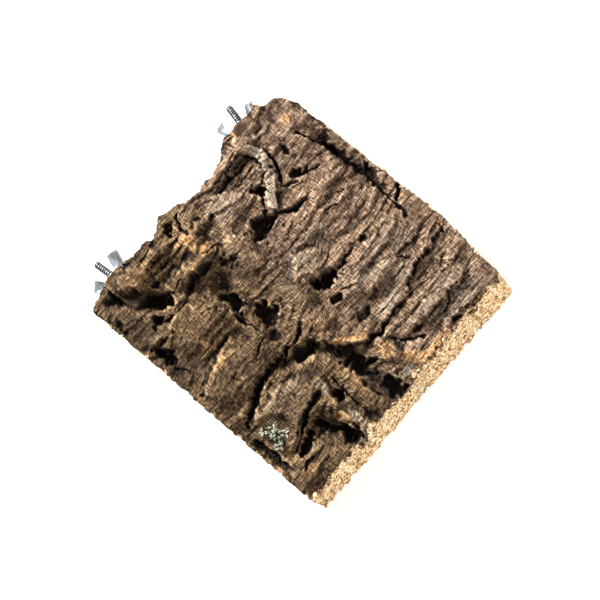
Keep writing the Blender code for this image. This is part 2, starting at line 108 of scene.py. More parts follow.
def node(tree, kind, inputs=(), stops=(), **settings):
    """Add one node with its settings, its inputs and a ramp's stops."""
    made = tree.nodes.new("ShaderNode" + kind)
    for name, value in settings.items():
        setattr(made, name, value)
    plug(tree, made, inputs)
    for k, (place, colour) in enumerate(stops):
        stop = made.color_ramp.elements[k] if k < 2 else made.color_ramp.elements.new(place)
        stop.position = place
        stop.color = tone(colour)
    return made


def material(name, even):
    """A new material, its tree, its shader with these even values, and the object place in mm."""
    made = bpy.data.materials.new(name)
    made.use_nodes = True
    tree = made.node_tree
    shader = tree.nodes["Principled BSDF"]
    plug(tree, shader, list(even.items()))
    place = node(tree, "TexCoord").outputs["Object"]
    return made, tree, shader, node(tree, "VectorMath", [place, (3, 1000.0)], operation="SCALE")


def piece(name, points_mm, faces, smooth_shaded=True):
    """A mesh object at the origin from points in millimetres and faces as lists of indices."""
    mesh = bpy.data.meshes.new(name)
    mesh.from_pydata((np.asarray(points_mm) * 0.001).tolist(), [], faces)
    mesh.polygons.foreach_set("use_smooth", np.full(len(mesh.polygons), smooth_shaded))
    made = bpy.data.objects.new(name, mesh)
    bpy.context.collection.objects.link(made)
    return made


FLOOR_CORNERS = [(-3000, -3000, 0), (3000, -3000, 0), (3000, 3000, 0), (-3000, 3000, 0)]
floor = piece("floor", FLOOR_CORNERS, [(0, 1, 2, 3)], False)
# Matt white paper, with a faint glow that stands for the light it gathers from the white room
paper, tree, shader, mm = material("floor_paper", {
    "Base Color": tone("#f4f4f3"), "Roughness": 0.9, "Emission Color": tone("#ffffff"),
    "Emission Strength": FLOOR_GLOW,
})
floor.data.materials.append(paper)


def lamp(name, size, watts, place):
    """A square area lamp at a place in metres, facing the middle of the slab."""
    light = bpy.data.lights.new(name, "AREA")
    light.shape = "SQUARE"
    light.size = size
    light.energy = watts
    made = bpy.data.objects.new(name, light)
    bpy.context.collection.objects.link(made)
    back = np.array(place) - np.array(LOOK_AT)
    back = back / np.linalg.norm(back)
    side = np.cross((0.0, 0.0, 1.0), back)
    side = side / np.linalg.norm(side)
    pose = np.eye(4)
    pose[:3, :3] = np.column_stack((side, np.cross(back, side), back))
    pose[:3, 3] = place
    made.matrix_world = pose.T.tolist()


lamp("key_lamp", 0.35, KEY_WATTS, (-0.15, 0.95, 0.75))
lamp("front_lamp", 0.8, FRONT_WATTS, (0.55, -0.95, 0.65))
lamp("panel_lamp", 0.5, PANEL_WATTS, (0.0, 0.47, 1.10))
room = bpy.data.worlds.new("room")
room.use_nodes = True
above = node(room.node_tree, "SeparateXYZ", [node(room.node_tree, "TexCoord").outputs["Generated"]])
sky = node(room.node_tree, "ValToRGB", [above.outputs["Z"]], stops=[
    (0.05, "#3c3c3e"), (0.75, "#ffffff"), (0.35, "#b4b4b6"),
])
background = room.node_tree.nodes["Background"]
plug(room.node_tree, background, [("Color", sky), ("Strength", ROOM_LIGHT)])
bpy.context.scene.world = room
bpy.context.scene.view_settings.view_transform = "Standard"


# The slab: one piece of virgin cork oak bark, bark side up, sawn at the front, left and right and
# broken off along a natural edge at the back. Its face is plates of thin growth layers, each with
# a ragged edge, between deep furrows. Sizes are in millimetres; x and y are where a point shows
# from the camera on the level 30 mm up, and a higher point really lies further to the front.
HALF_WIDTH = 103.0
FRONT = -104.0
LEVEL = 30.0
LEAN = 0.4245
COLUMNS = 262
ROWS = 276
WALL_ROWS = 30
ROW_STEP_LEAST = 0.10
DEEPEST = 8.0
HOLLOW_START = 19.0
SLAB_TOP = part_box("cork_slab")[1][2] * 1000.0 - 0.1
TOP_EASE = 4.0
SEAT_Y = 111.0
SEAT_RADIUS = 9.6
SWEEP_RADIUS = 13.6
SWEEP_START = 3.9
SWEEP_SLOPE = 2.2
STUD_HEIGHT = 17.5
STUD_COVER = 8.5
END_COVER = 7.5
STUDS = {"left": (-74.0, -4.5), "right": (64.6, 12.6)}
# The rim's four sides in the order that its points go round, and the slab's finishes
FRONT_SIDE, RIGHT_SIDE, BACK_SIDE, LEFT_SIDE = range(4)
BARK, SAWN, BROKEN, BELLY = range(4)
LICHEN_CENTRE = (-81.0, -55.5)
LICHEN_BED = 31.5
LICHEN_BED_RADII = (16.0, 19.0)

# Raised plates: centre x, centre y, half length, half width, turn in degrees, height
PLATES = [
    (88, 81, 16, 25, -15, 8.0), (12, 84, 17, 13, 0, 4.5), (-10, 98, 11, 12, 0, 3.0),
    (36, 103, 22, 8, 0, 4.0), (56, 105, 12, 10, 0, 5.0), (55, 28, 34, 26, -5, 6.0),
    (18, 7, 15, 13, 0, 5.5), (50, -28, 42, 20, -4, 6.0), (60, -75, 42, 14, -2, 4.0),
    (9, -76, 9, 12, 0, 9.0), (12, -46, 16, 11, -35, 3.0), (-22, -82, 7, 26, 0, 5.0),
    (-73, -92, 18, 12, 0, 4.0), (-66, -46, 31, 15, -8, 7.0), (-68, -4, 35, 20, -5, 7.0),
    (-62, 40, 24, 18, 0, 7.0), (-38, 72, 20, 9, -5, 9.0), (-68, 100, 15, 15, 0, 11.0),
    (-94, 92, 8, 18, 0, 2.0), (-20, 82, 10, 16, 0, 7.0), (-45, 100, 14, 9, 0, 4.0),
    (48, 85, 12, 9, 0, 3.0),
]
# Ridges and valleys: points, half width, rise (a fall is negative)
FOLDS = [
    ([(-3, 70), (-3, 50), (0, 20), (-6, -20), (-5, -42)], 15, 10.0),
    ([(-24, 58), (-31, 34), (-26, 8), (-29, -14)], 12, -9.0),
    ([(-48, -21), (-33, -30), (-19, -38), (-8, -56)], 9, -8.0),
    ([(-10, -50), (-8, -72), (-8, -90), (-6, -112)], 10, -12.0),
    ([(-86, 110), (-79, 95), (-71, 82), (-62, 70)], 11, -15.0),
    ([(-57, -70), (-51, -88), (-48, -112)], 8, -9.0),
    ([(88, 78), (94, 58), (94, 20), (91, -10)], 9, -9.0), ([(-42, -68), (-38, -90), (-36, -110)], 6, 7.0),
    ([(-62, -60), (-48, -63), (-40, -66)], 6, 4.0), ([(-98, -45), (-98, -80)], 6, -6.0),
    ([(-96, 62), (-92, 40), (-96, 22)], 7, -5.0),
]
# Lips, each a step with its high side on the line's left: points, run, height; all fall off as fast
LIP_FALL = 2.5
LIPS = [
    ([(-14, -32), (-11, -42), (-3, -52), (5, -59), (16, -64)], 13, 7.0),
    ([(-90, 112), (-82, 103), (-75, 92), (-68, 80), (-58, 74)], 14, 6.0),
    ([(36, 4), (30, 14), (20, 17), (10, 12), (4, 0)], 12, 3.0),
    ([(-42, -76), (-37, -60), (-34, -48)], 14, 5.0), ([(26, 55), (38, 46), (50, 42), (62, 43)], 12, 4.0),
    ([(9, 44), (5, 57), (0, 65), (-8, 72)], 12, 4.0), ([(3, -3), (14, -5), (28, -7), (46, -9)], 14, 5.5),
    ([(8, -62), (24, -64), (44, -62), (56, -55), (66, -51), (80, -52), (102, -50)], 16, 4.5),
    ([(-96, -38), (-85, -28), (-76, -24), (-55, -20), (-38, -18)], 16, 4.5),
    ([(-86, -69), (-68, -63), (-54, -59), (-38, -57)], 16, 9.0),
    ([(-58, 58), (-45, 64), (-30, 64), (-16, 62)], 13, 6.0), ([(14, 98), (34, 96), (58, 100)], 9, 4.5),
    ([(-54, 99), (-38, 97), (-28, 100)], 8, 4.0), ([(40, 60), (54, 57), (70, 57)], 9, 2.8),
    ([(34, 33), (58, 30), (86, 34)], 9, 2.4), ([(46, 23), (66, 19), (84, 20)], 8, 2.6),
    ([(38, 8), (60, 5), (86, 8)], 9, 2.2), ([(30, -24), (56, -25), (88, -20)], 9, 2.4),
    ([(24, -44), (44, -40), (62, -38), (82, -41)], 9, 2.8),
    ([(18, -78), (40, -80), (60, -82), (94, -84)], 9, 3.0), ([(36, -70), (62, -69), (96, -70)], 8, 2.0),
    ([(50, -91), (70, -92), (94, -93)], 7, 2.2), ([(44, -98), (60, -97), (88, -99)], 8, 3.5),
    ([(-92, -83), (-78, -81), (-62, -84)], 8, 3.0), ([(4, 72), (16, 70), (28, 74)], 8, 2.5),
    ([(-98, 55), (-88, 54), (-80, 57)], 8, 3.0), ([(-14, 88), (-4, 86), (6, 90)], 7, 2.5),
    ([(-80, 22), (-66, 20), (-46, 22)], 9, 2.6), ([(-46, 19), (-62, 14), (-78, 9), (-99, 2)], 30, 5.0),
    ([(-40, 57), (-62, 58), (-80, 54)], 28, 4.0),
    ([(-42, -26), (-60, -28), (-78, -32), (-90, -40)], 26, 4.0),
]
# Furrows and cracks: points, half width, depth
FURROWS = [
    ([(-38, -20), (-50, -22), (-62, -26), (-72, -27), (-80, -30), (-89, -32), (-97, -40)], 1.4, 7),
    ([(3, -63), (14, -65), (30, -64), (44, -62)], 1.7, 7),
    ([(44, -62), (56, -56), (66, -53), (80, -53), (101, -51)], 1.2, 5),
    ([(60, -37), (70, -40), (82, -41)], 1.6, 4), ([(60, -37), (66, -48)], 1.3, 3),
    ([(30, 52), (36, 46), (43, 41), (54, 39)], 1.9, 7), ([(47, 60), (54, 55), (61, 51)], 1.4, 5),
    ([(30, -12), (40, -12), (48, -10)], 1.5, 5), ([(84, 80), (88, 66), (90, 56)], 1.6, 8),
    ([(90, 62), (93, 46), (93, 22), (91, 4)], 5.6, 10), ([(91, 8), (89, -10), (88, -30)], 1.6, 6),
    ([(62, 88), (61, 80), (57, 73), (54, 66), (49, 58)], 1.7, 7),
    ([(45, 76), (38, 68), (30, 59)], 1.5, 6), ([(50, 98), (53, 88), (52, 80)], 1.4, 5),
    ([(52, 87), (62, 88)], 0.8, 3), ([(52, 83), (61, 82)], 0.8, 3),
    ([(18, 93), (30, 94), (40, 92), (50, 93)], 1.6, 6), ([(18, 101), (34, 98), (58, 100)], 1.6, 5),
    ([(28, 86), (40, 85), (50, 87)], 1.2, 3), ([(-48, 61), (-38, 64), (-20, 63)], 2.6, 8),
    ([(-78, 62), (-64, 58), (-52, 58)], 1.6, 5),
    ([(-38, -58), (-55, -61), (-66, -68), (-84, -75)], 2.4, 8),
    ([(-60, -70), (-54, -82), (-47, -95)], 2.6, 7),
    ([(-45, -26), (-35, -23), (-20, -22), (-10, -15)], 2.0, 6), ([(-30, -34), (-12, -36)], 1.6, 4),
    ([(20, -79), (28, -88), (34, -92)], 1.6, 5), ([(40, -82), (50, -84), (60, -83)], 1.2, 2.5),
    ([(50, -92), (58, -89), (66, -84), (76, -83), (92, -85)], 1.3, 3),
    ([(52, -98), (60, -97), (68, -99)], 1.5, 4), ([(-97, 54), (-86, 53), (-80, 50)], 1.8, 6),
    ([(-52, 96), (-36, 96)], 1.5, 4), ([(-50, 90), (-38, 89)], 1.3, 4), ([(90, -14), (101, -7)], 1.8, 7),
    ([(92, 16), (97, 20), (101, 22)], 1.8, 7), ([(50, 22), (66, 18)], 1.3, 4),
    ([(70, 24), (77, 22)], 1.0, 3), ([(-52, -8), (-36, -3)], 1.4, 4), ([(-92, -84), (-75, -84)], 1.3, 4),
    ([(58, -61), (67, -61)], 1.0, 2), ([(70, -71), (95, -71)], 1.0, 3), ([(80, -64), (92, -64)], 1.0, 2),
    ([(90, -51), (97, -49), (95, -54)], 1.4, 4), ([(20, -21), (25, -28), (31, -32)], 1.4, 4),
    ([(68, 52), (78, 49)], 1.4, 4), ([(30, -75), (45, -73)], 1.0, 2),
    ([(-27, 74), (-12, 70), (-6, 62)], 1.4, 3), ([(-96, -46), (-95, -60), (-95, -80)], 1.8, 7),
    ([(-95, 33), (-91, 26), (-90, 20)], 1.6, 4), ([(-66, 70), (-50, 72), (-40, 70)], 1.6, 3),
    ([(-28, -56), (-29, -66), (-30, -100)], 1.6, 4), ([(-17, -72), (-16, -100)], 1.5, 4),
    ([(10, -88), (22, -83), (18, -72)], 1.3, 3), ([(-10, 110), (-16, 100), (-17, 90)], 1.8, 5),
    ([(-40, 28), (-38, 14), (-36, 2)], 1.6, 5), ([(-58, -26), (-57, -40), (-58, -52)], 0.9, 2.5),
    ([(-47, 56), (-44, 40), (-46, 26)], 0.9, 2.0), ([(-72, -2), (-70, -12), (-71, -22)], 0.9, 2.5),
]
# Pits and hollows: centre x, centre y, half length, half width, turn in degrees, depth
PITS = [
    (-73, 87, 13, 5.5, -58, 13), (-65, 73, 8, 6, -30, 13), (-76, 64, 6, 6, 0, 11),
    (-34, 32, 6, 9, 15, 15), (-37, 20, 2.5, 6, 0, 6), (-24, 6, 7, 9, 0, 13), (-31, -10, 4, 4, 0, 4),
    (-15, 52, 6, 8, 0, 6), (-9, -67, 7.5, 13, 8, 13), (-28, -32, 12, 5, -20, 8), (-5, -98, 8, 9, 0, 11),
    (20, 50, 14, 10, -12, 13), (22, -12, 10, 5, -10, 13), (15, -25, 3.5, 3.5, 0, 7),
    (65, 56, 7, 4, -40, 9), (38, 71, 7, 4, -55, 8), (-73, -77, 9, 4, 10, 11), (-47, -96, 7, 9, 0, 13),
    (-35, -70, 4, 6, 0, 9), (-58, 84, 3.5, 3, 0, 6), (-23, 107, 4.5, 5, 0, 8), (55, -99, 4, 2.5, 0, 4),
    (-92, 42, 5, 9, 0, 9), (70, 75, 4, 3, 0, 3), (57, -12, 5, 2.5, 0, 5), (-96, 4, 3, 2, 0, 3),
    (34, -84, 5, 2.5, 0, 4), (-6, 92, 3, 3, 0, 3), (2, 85, 2.5, 2, 0, 3), (-98, 86, 3, 8, 0, 4),
    (-60, -78, 6, 6, 0, 6), (18, -46, 8, 5, -30, 5), (96, 14, 3, 7, 0, 7), (92, 50, 3, 10, 0, 6),
]
# Loose flakes that stand a little proud: points, half width, height
FLAKES = [
    ([(55, 97), (58, 89), (56, 80)], 4.6, 5.0), ([(49, 79), (52, 75)], 2.4, 4.0),
    ([(49, 71), (42, 63), (36, 55)], 4.4, 5.0),
]
# Growth layers that end in steps: from one to the next, their rise, seed, share of a layer that falls
COARSE_LAYERS = [(11.0, 2.5, 80, 0.12), (6.3, 1.0, 81, 0.18)]
FINE_LAYERS = [(3.6, 0.5, 60, 0.22), (2.2, 0.35, 61, 0.30)]
# Plates whose growth lines arch: centre x, centre y, half length, half width, rise of the arch
ARCHES = [
    (-60, 42, 24, 22, 7.0), (-68, 4, 40, 22, 9.0), (-66, -45, 36, 18, 5.0), (50, 20, 45, 30, 4.0),
    (18, 8, 18, 12, 8.0), (50, -25, 45, 20, -3.0), (-35, 72, 24, 10, 7.0), (60, -75, 44, 16, 3.0),
]
LEFT_TAPER = 4.5
RIGHT_TAPER = 8.0
BACK_EDGE = [
    (-103, 111), (-95, 113), (-86, 116), (-72, 118.5), (-60, 116.5), (-54, 114.5), (-44, 115),
    (-35, 110.5), (-28, 115), (-22, 118.5), (-14, 116.5), (-6, 114), (-2, 109.5), (10, 107.5), (22, 107),
    (34, 108.5), (40, 111.5), (44, 116), (51, 119.5), (62, 117.5), (74, 116.5), (78, 116.5), (81, 121),
    (85, 112), (93, 109), (98, 105), (103, 93),
]
# The back edge's y halfway down and at its foot, and how much further out each is by the studs
BACK_MIDDLE = (103.5, 10.5)
BACK_FOOT = (101.5, 11.5)
STUD_BULGE = 13.0
# The front is sawn a little out of square: how far its foot stands out midway, and more to the right
SPLAY = 3.0
SPLAY_TO_RIGHT = 1.6
# Patches of colour: centre x, centre y, half length, half width, turn, strength
TAN_PATCHES = [
    (-21, 86, 5, 10, -15, 0.9), (-16, 73, 7, 5, 0, 2.0), (9, -75, 8, 8, 0, 0.8),
    (18, -94, 13, 5, -57, 1.2), (32, -100, 22, 4, 0, 0.9), (70, -103, 28, 2.5, 0, 0.7),
    (-69, 10, 13, 4.5, 20, 0.75), (-66, 97, 7, 16, 25, 0.45), (88, 91, 5, 5, 0, 0.9),
    (54, 114, 5, 4, 0, 1.0), (-43, -83, 4, 9, 10, 1.3), (-82, -90, 9, 7, 0, 0.45),
    (97, -15, 3, 4, 0, 0.9), (97, -47, 4, 3, 0, 0.8), (-97, -73, 3, 4, 0, 0.8),
    (-52, -62, 10, 3, -8, 0.7), (-93, 88, 7, 14, 0, 0.2), (-4, -49, 13, 3.6, -43, 1.5),
    (98, 5, 3, 16, 0, 0.45), (-2, 66, 3, 7, 0, 0.6), (-99, -60, 3, 5, 0, 0.5), (-20, -72, 5, 14, 0, 0.6),
    (-8, -30, 8, 12, 0, 0.5), (-24, 92, 9, 6, 0, 0.7), (-58, 98, 18, 9, 0, 0.5), (-30, 70, 9, 4, 0, 0.8),
    (0, 44, 5, 14, 0, 0.4), (6, -58, 7, 4, -20, 1.0), (-66, 24, 3, 12, 10, 0.8),
    (-38, 106, 12, 5, 0, 0.4),
]
PALE_PATCHES = [
    (57, 91, 6, 7, 8, 1.6), (50, 77, 3, 3, 0, 1.2), (34, -56, 15, 5, 5, 0.9), (-36, -90, 3, 14, 0, 0.6),
    (8, -96, 5, 4, 0, 0.9), (14, 84, 14, 12, 0, 0.5), (20, 12, 15, 15, 0, 0.4), (50, -30, 36, 14, 0, 0.4),
    (-37, -58, 4, 10, 0, 0.5), (50, -50, 16, 9, 0, 0.6), (40, 16, 11, 9, 0, 0.5),
    (60, -78, 34, 8, 0, 0.4), (-60, -42, 24, 10, 0, 0.3), (-56, -60, 14, 5, 0, 0.5),
    (64, -92, 26, 8, 0, 0.6),
]
# The dark patches are partly darker bark and partly painted shade, over pits, furrows and the slopes and
# ledges that lie in shade
DARK_AND_SHADE_PATCHES = [
    (17, -44, 12, 7, -20, 0.8), (-93, -97, 8, 10, 0, 0.7), (62, 113, 7, 5, 0, 1.3),
    (22, -12, 12, 5, 0, 0.7), (-34, 64, 18, 5, 0, 0.7), (-60, -80, 22, 9, 0, 0.4),
    (-44, 99, 12, 5, 0, 0.7), (-30, 12, 10, 34, 0, 0.35), (-9, -84, 9, 22, 0, 0.75),
    (34, 99, 17, 6, 0, 0.7), (-73, 84, 20, 9, -57, 1.0), (-92, 78, 11, 34, 0, 0.85),
    (-32, -32, 16, 7, 0, 0.6), (22, 49, 15, 12, 0, 0.9), (93, 34, 7, 30, 0, 0.75),
    (-89, 34, 14, 30, 0, 0.8), (-16, 50, 8, 14, 0, 0.6), (-50, -92, 7, 14, 0, 0.7),
    (-66, -8, 36, 14, 0, 0.45), (-72, 100, 14, 14, 0, 0.6), (82, 100, 16, 14, 0, 0.6),
    (66, 60, 14, 20, 0, 0.5), (-78, 63, 12, 8, 0, 1.0), (-96, -40, 6, 14, 0, 0.5),
    (-8, 26, 12, 28, 0, 0.5), (-36, -44, 10, 7, 0, 0.6), (70, -28, 14, 12, 0, 0.4),
    (28, 44, 14, 8, 0, 0.5),
]


def smooth(t):
    """0 below 0, 1 above 1 and an even slope between."""
    t = np.clip(t, 0.0, 1.0)
    return t * t * (3.0 - 2.0 * t)


def noise(x, y, cell, seed):
    """Rolling ground between -1 and 1: a seeded value at each corner of square cells, blended between."""
    side = 64 if cell > 4.0 else 512
    lattice = np.random.default_rng(seed).uniform(-1.0, 1.0, (side, side))
    u = x / cell + 0.5 * side - 1.0
    v = y / cell + 0.5 * side - 1.0
    i = np.floor(u).astype(int)
    j = np.floor(v).astype(int)
    s = smooth(u - i)
    t = smooth(v - j)
    near = lattice[i % side, j % side] * (1.0 - s) + lattice[(i + 1) % side, j % side] * s
    far = lattice[i % side, (j + 1) % side] * (1.0 - s) + lattice[(i + 1) % side, (j + 1) % side] * s
    return near * (1.0 - t) + far * t


def summed(parts, x, y):
    """Noise of several sizes added up: how much of each, the size of its cells in mm, and its seed."""
    return sum(amount * noise(x, y, cell, seed) for amount, cell, seed in parts)


def from_line(points, x, y):
    """Distance to a broken line (positive on its left) and how far along it the nearest point is, 0 to 1."""
    points = np.array(points, dtype=float)
    lengths = np.hypot(*np.diff(points, axis=0).T)
    starts = np.concatenate(([0.0], np.cumsum(lengths)))
    best = np.full(x.shape, 1e9)
    along = np.zeros(x.shape)
    for k, length in enumerate(lengths):
        step = (points[k + 1] - points[k]) / length
        dx = x - points[k, 0]
        dy = y - points[k, 1]
        t = np.clip(dx * step[0] + dy * step[1], 0.0, length)
        gap = np.hypot(dx - t * step[0], dy - t * step[1])
        left = np.where(step[0] * dy - step[1] * dx >= 0.0, 1.0, -1.0)
        nearer = gap < np.abs(best)
        best = np.where(nearer, left * gap, best)
        along = np.where(nearer, (starts[k] + t) / starts[-1], along)
    return best, along


def from_centre(shape, x, y):
    """Distance from an ellipse's centre as a share of its radius, 1 on its outline."""
    cx, cy, long, short, turn = shape[:5]
    c = math.cos(math.radians(turn))
    s = math.sin(math.radians(turn))
    u = ((x - cx) * c + (y - cy) * s) / long
    v = ((y - cy) * c - (x - cx) * s) / short
    return np.hypot(u, v)


def growth_line(x, y):
    """The level along y of the growth line through (x, y): the lines bend over each plate."""
    bend = summed(((1.5, 26.0, 40), (0.7, 11.0, 41)), x, y)
    for cx, cy, long, short, rise in ARCHES:
        near = smooth(1.5 * (1.25 - from_centre((cx, cy, long, short, 0.0), x, y)))
        bend = bend + near * rise * ((x - cx) / long) ** 2
    return y + bend


def layer_steps(height, growth, x, y, pitch, amount, seed, fall):
    """Saw teeth across the growth lines: each layer rises evenly and ends in a sudden fall."""
    line = (0.12 * height - growth) / pitch + 0.8 * noise(x, 1.5 * y, 24.0, seed)
    line = line + summed(((0.9, 4.1, seed + 9), (0.7, 1.7, seed + 19)), x, y) / pitch
    share = line - np.floor(line)
    broken = smooth(0.6 + 1.2 * noise(x, 2.0 * y, 15.0, seed + 5))
    return amount * broken * (share - 1.1 * smooth((share - 1.0 + fall) / fall))


def bent(seen_x, seen_y):
    """A place pushed about by noise of four sizes, so that no outline on the bark runs smooth."""
    x = seen_x + summed(((1.2, 17.0, 3), (1.4, 6.5, 33), (0.9, 2.6, 35), (0.4, 1.3, 37)), seen_x, seen_y)
    y = seen_y + summed(((1.1, 15.0, 4), (1.4, 5.5, 34), (0.9, 2.4, 36), (0.4, 1.2, 38)), seen_x, seen_y)
    return x, y


def fading(along, slope, start=0.0):
    """1 over most of a line's length, falling towards both its ends."""
    return smooth(slope * along + start) * smooth(slope * (1.0 - along) + start)


def flake_share(points, half, x, y):
    """1 on a loose flake and 0 off it, falling over less than a millimetre at its edge."""
    gap, _ = from_line(points, x, y)
    return smooth((half - np.abs(gap)) / 0.8)


def bark_height(seen_x, seen_y):
    """Sum of rolling ground, plates, folds, lips, layer steps, less furrows and pits, and fine fibres."""
    x, y = bent(seen_x, seen_y)
    height = LEVEL - 1.5 + 2.2 * noise(x, y, 48.0, 1) + 2.6 * noise(0.55 * x, y, 13.0, 2)
    for plate in PLATES:
        height = height + 1.15 * plate[5] * smooth(1.35 * (1.12 - from_centre(plate, x, y)))
    for points, half, rise in FOLDS:
        gap, along = from_line(points, x, y)
        height = height + rise * fading(along, 5.0, 0.3) * smooth(1.0 - np.abs(gap) / half)
    for points, run, rise in LIPS:
        gap, along = from_line(points, x, y)
        side = np.where(gap > 0.0, 1.0 - smooth(gap / run), 1.0 - smooth(-gap / LIP_FALL))
        height = height + rise * fading(along, 5.0) * side
    growth = growth_line(seen_x, seen_y)
    for layers in COARSE_LAYERS:
        height = height + layer_steps(height, growth, seen_x, seen_y, *layers)
    for points, half, rise in FLAKES:
        height = height + rise * flake_share(points, half, x, y)
    for points, half, depth in FURROWS:
        gap, along = from_line(points, x, y)
        wide = half * (0.62 + 0.45 * noise(seen_x, seen_y, 5.0, 90))
        height = height - depth * fading(along, 6.0, 0.1) * smooth(1.3 * (1.0 - np.abs(gap) / wide))
    torn = 0.42 * noise(seen_x, 1.4 * seen_y, 6.1, 91) + 0.25 * noise(seen_x, seen_y, 2.3, 92)
    for pit in PITS:
        height = height - pit[5] * smooth(1.9 * (1.05 - from_centre(pit, x, y) - torn))
    fall = np.minimum(height - HOLLOW_START, 0.0) / (HOLLOW_START - DEEPEST)
    height = np.maximum(height, HOLLOW_START) - (HOLLOW_START - DEEPEST) * (1.0 - np.exp(fall))
    worn = smooth(0.85 + 0.9 * noise(seen_x, seen_y, 15.0, 50))
    fine = sum(layer_steps(height, growth, seen_x, seen_y, *layers) for layers in FINE_LAYERS)
    height = height + (0.35 + 0.65 * worn) * fine
    # Fibres along the growth lines, lumps where little is worn off, and crumbs that lie in drifts
    growth = growth + 0.12 * height
    height = height + 0.18 * noise(0.2 * seen_x, growth, 2.6, 73)
    height = height + 0.32 * noise(0.16 * seen_x, growth, 1.2, 70)
    height = height + 0.3 * noise(seen_x, seen_y, 3.1, 71) * (1.3 - worn)
    drifts = 0.35 + 0.65 * smooth(0.5 - 1.5 * noise(seen_x, seen_y, 12.0, 75))
    height = height + 0.5 * drifts * noise(seen_x, seen_y, 1.25, 74)
    return height + 0.25 * noise(seen_x, 0.3 * growth, 1.3, 72)


def slab_height(x, y):
    """The bark, kept thick over the sunk studs, flat under the lichen and below the slab's top."""
    height = bark_height(x, y)
    for stud_x, _ in STUDS.values():
        over = smooth(2.0 * (1.4 - np.abs(x - stud_x) / 9.0)) * smooth((y - 78.0) / 8.0)
        cover = STUD_COVER + END_COVER * smooth((y - 98.0) / 10.0)
        height = np.maximum(height, (STUD_HEIGHT + cover) * over)
    bed = smooth(3.0 * (1.0 - from_centre((*LICHEN_CENTRE, *LICHEN_BED_RADII, 0.0), x, y)))
    height = height + 0.6 * bed * (LICHEN_BED - height)
    over = np.maximum(height - SLAB_TOP + TOP_EASE, 0.0)
    return np.minimum(height, SLAB_TOP - TOP_EASE) + TOP_EASE * (1.0 - np.exp(-over / TOP_EASE))


def averaged(field, cells):
    """A running mean along both directions of a grid, twice over, with the edges held."""
    for axis in (0, 1, 0, 1):
        pad = [(0, 0), (0, 0)]
        pad[axis] = (cells + 1, cells)
        total = np.cumsum(np.pad(field, pad, mode="edge"), axis=axis)
        ahead = np.take(total, np.arange(2 * cells + 1, total.shape[axis]), axis=axis)
        behind = np.take(total, np.arange(0, total.shape[axis] - 2 * cells - 1), axis=axis)
        field = (ahead - behind) / (2 * cells + 1)
    return field


def patches(shapes, x, y):
    """The strongest of some soft edged patches at each point, 0 to 1."""
    found = np.zeros(x.shape)
    for shape in shapes:
        found = np.maximum(found, shape[5] * smooth(1.6 * (1.15 - from_centre(shape, x, y))))
    return found


def pared_for_studs(points):
    """Draw back whatever stands past each washer's seat, or past the cone that the wings sweep."""
    for stud_x, angle in STUDS.values():
        axis = np.array([math.sin(math.radians(angle)), math.cos(math.radians(angle)), 0.0])
        from_seat = points - np.array([stud_x, SEAT_Y, STUD_HEIGHT])
        out = from_seat @ axis
        radius = np.linalg.norm(from_seat - out[:, None] * axis, axis=1)
        free = SWEEP_START + SWEEP_SLOPE * np.maximum(radius - SWEEP_RADIUS, 0.0)
        free = np.where(radius < SEAT_RADIUS, 0.0, free)
        points = points - np.maximum(out - free, 0.0)[:, None] * axis
    return points


def torn_cork(run, z):
    """How deep the saw tore at a place along an edge: grains, pores, and chips along the layers."""
    layer = z / 4.2 + 0.5 * noise(run, z, 14.0, 12)
    layer = layer - np.floor(layer)
    torn = 0.9 + summed(((0.6, 1.6, 13), (0.7, 4.6, 15)), run, z)
    chips = smooth(noise(run, 2.0 * z, 7.0, 14) * 2.0 - 0.3)
    pores = smooth(4.0 * (noise(run, 1.3 * z, 2.6, 16) - 0.30))
    return np.maximum(torn + 1.6 * chips * smooth(1.0 - np.abs(layer - 0.5) / 0.3) + 1.8 * pores, 0.0)


def bark_grid():
    """Rows from the sawn front to the broken back: x, y, z, the y that shows, and the front's own line."""
    column = np.linspace(-HALF_WIDTH, HALF_WIDTH, COLUMNS + 1)
    back = np.interp(column, *np.array(BACK_EDGE, dtype=float).T)
    back = back + summed(((1.1, 3.7, 8), (0.7, 1.5, 9)), column, 0.0 * column)
    front = np.full(column.shape, FRONT)
    for _ in range(14):
        front = 0.5 * front + 0.5 * (FRONT + LEAN * (slab_height(column, front) - LEVEL))
    share = np.linspace(0.0, 1.0, ROWS + 1)[:, None]
    x = np.repeat(column[None, :], ROWS + 1, axis=0)
    seen = front + (back - front) * share
    z = slab_height(x, seen)
    # The sawn sides draw in a little towards the front
    taper = LEFT_TAPER * np.clip((110.0 - seen) / 214.0, 0.0, 1.0) * smooth((-x - 55.0) / 45.0)
    taper = taper - RIGHT_TAPER * np.clip((-42.0 - seen) / 62.0, 0.0, 1.0) * smooth((x - 55.0) / 45.0)
    x = x + taper - np.sign(x) * torn_cork(seen, z) * smooth(1.0 - (HALF_WIDTH - np.abs(column)) / 4.0)
    y = seen - LEAN * (z - LEVEL)
    y[0] = FRONT + torn_cork(x[0], z[0])
    # No row passes the one behind it where the bark falls steeply
    steps = ROW_STEP_LEAST * np.arange(ROWS + 1)[:, None]
    y = np.maximum.accumulate(y - steps, axis=0) + steps
    return x, y, z, seen, front


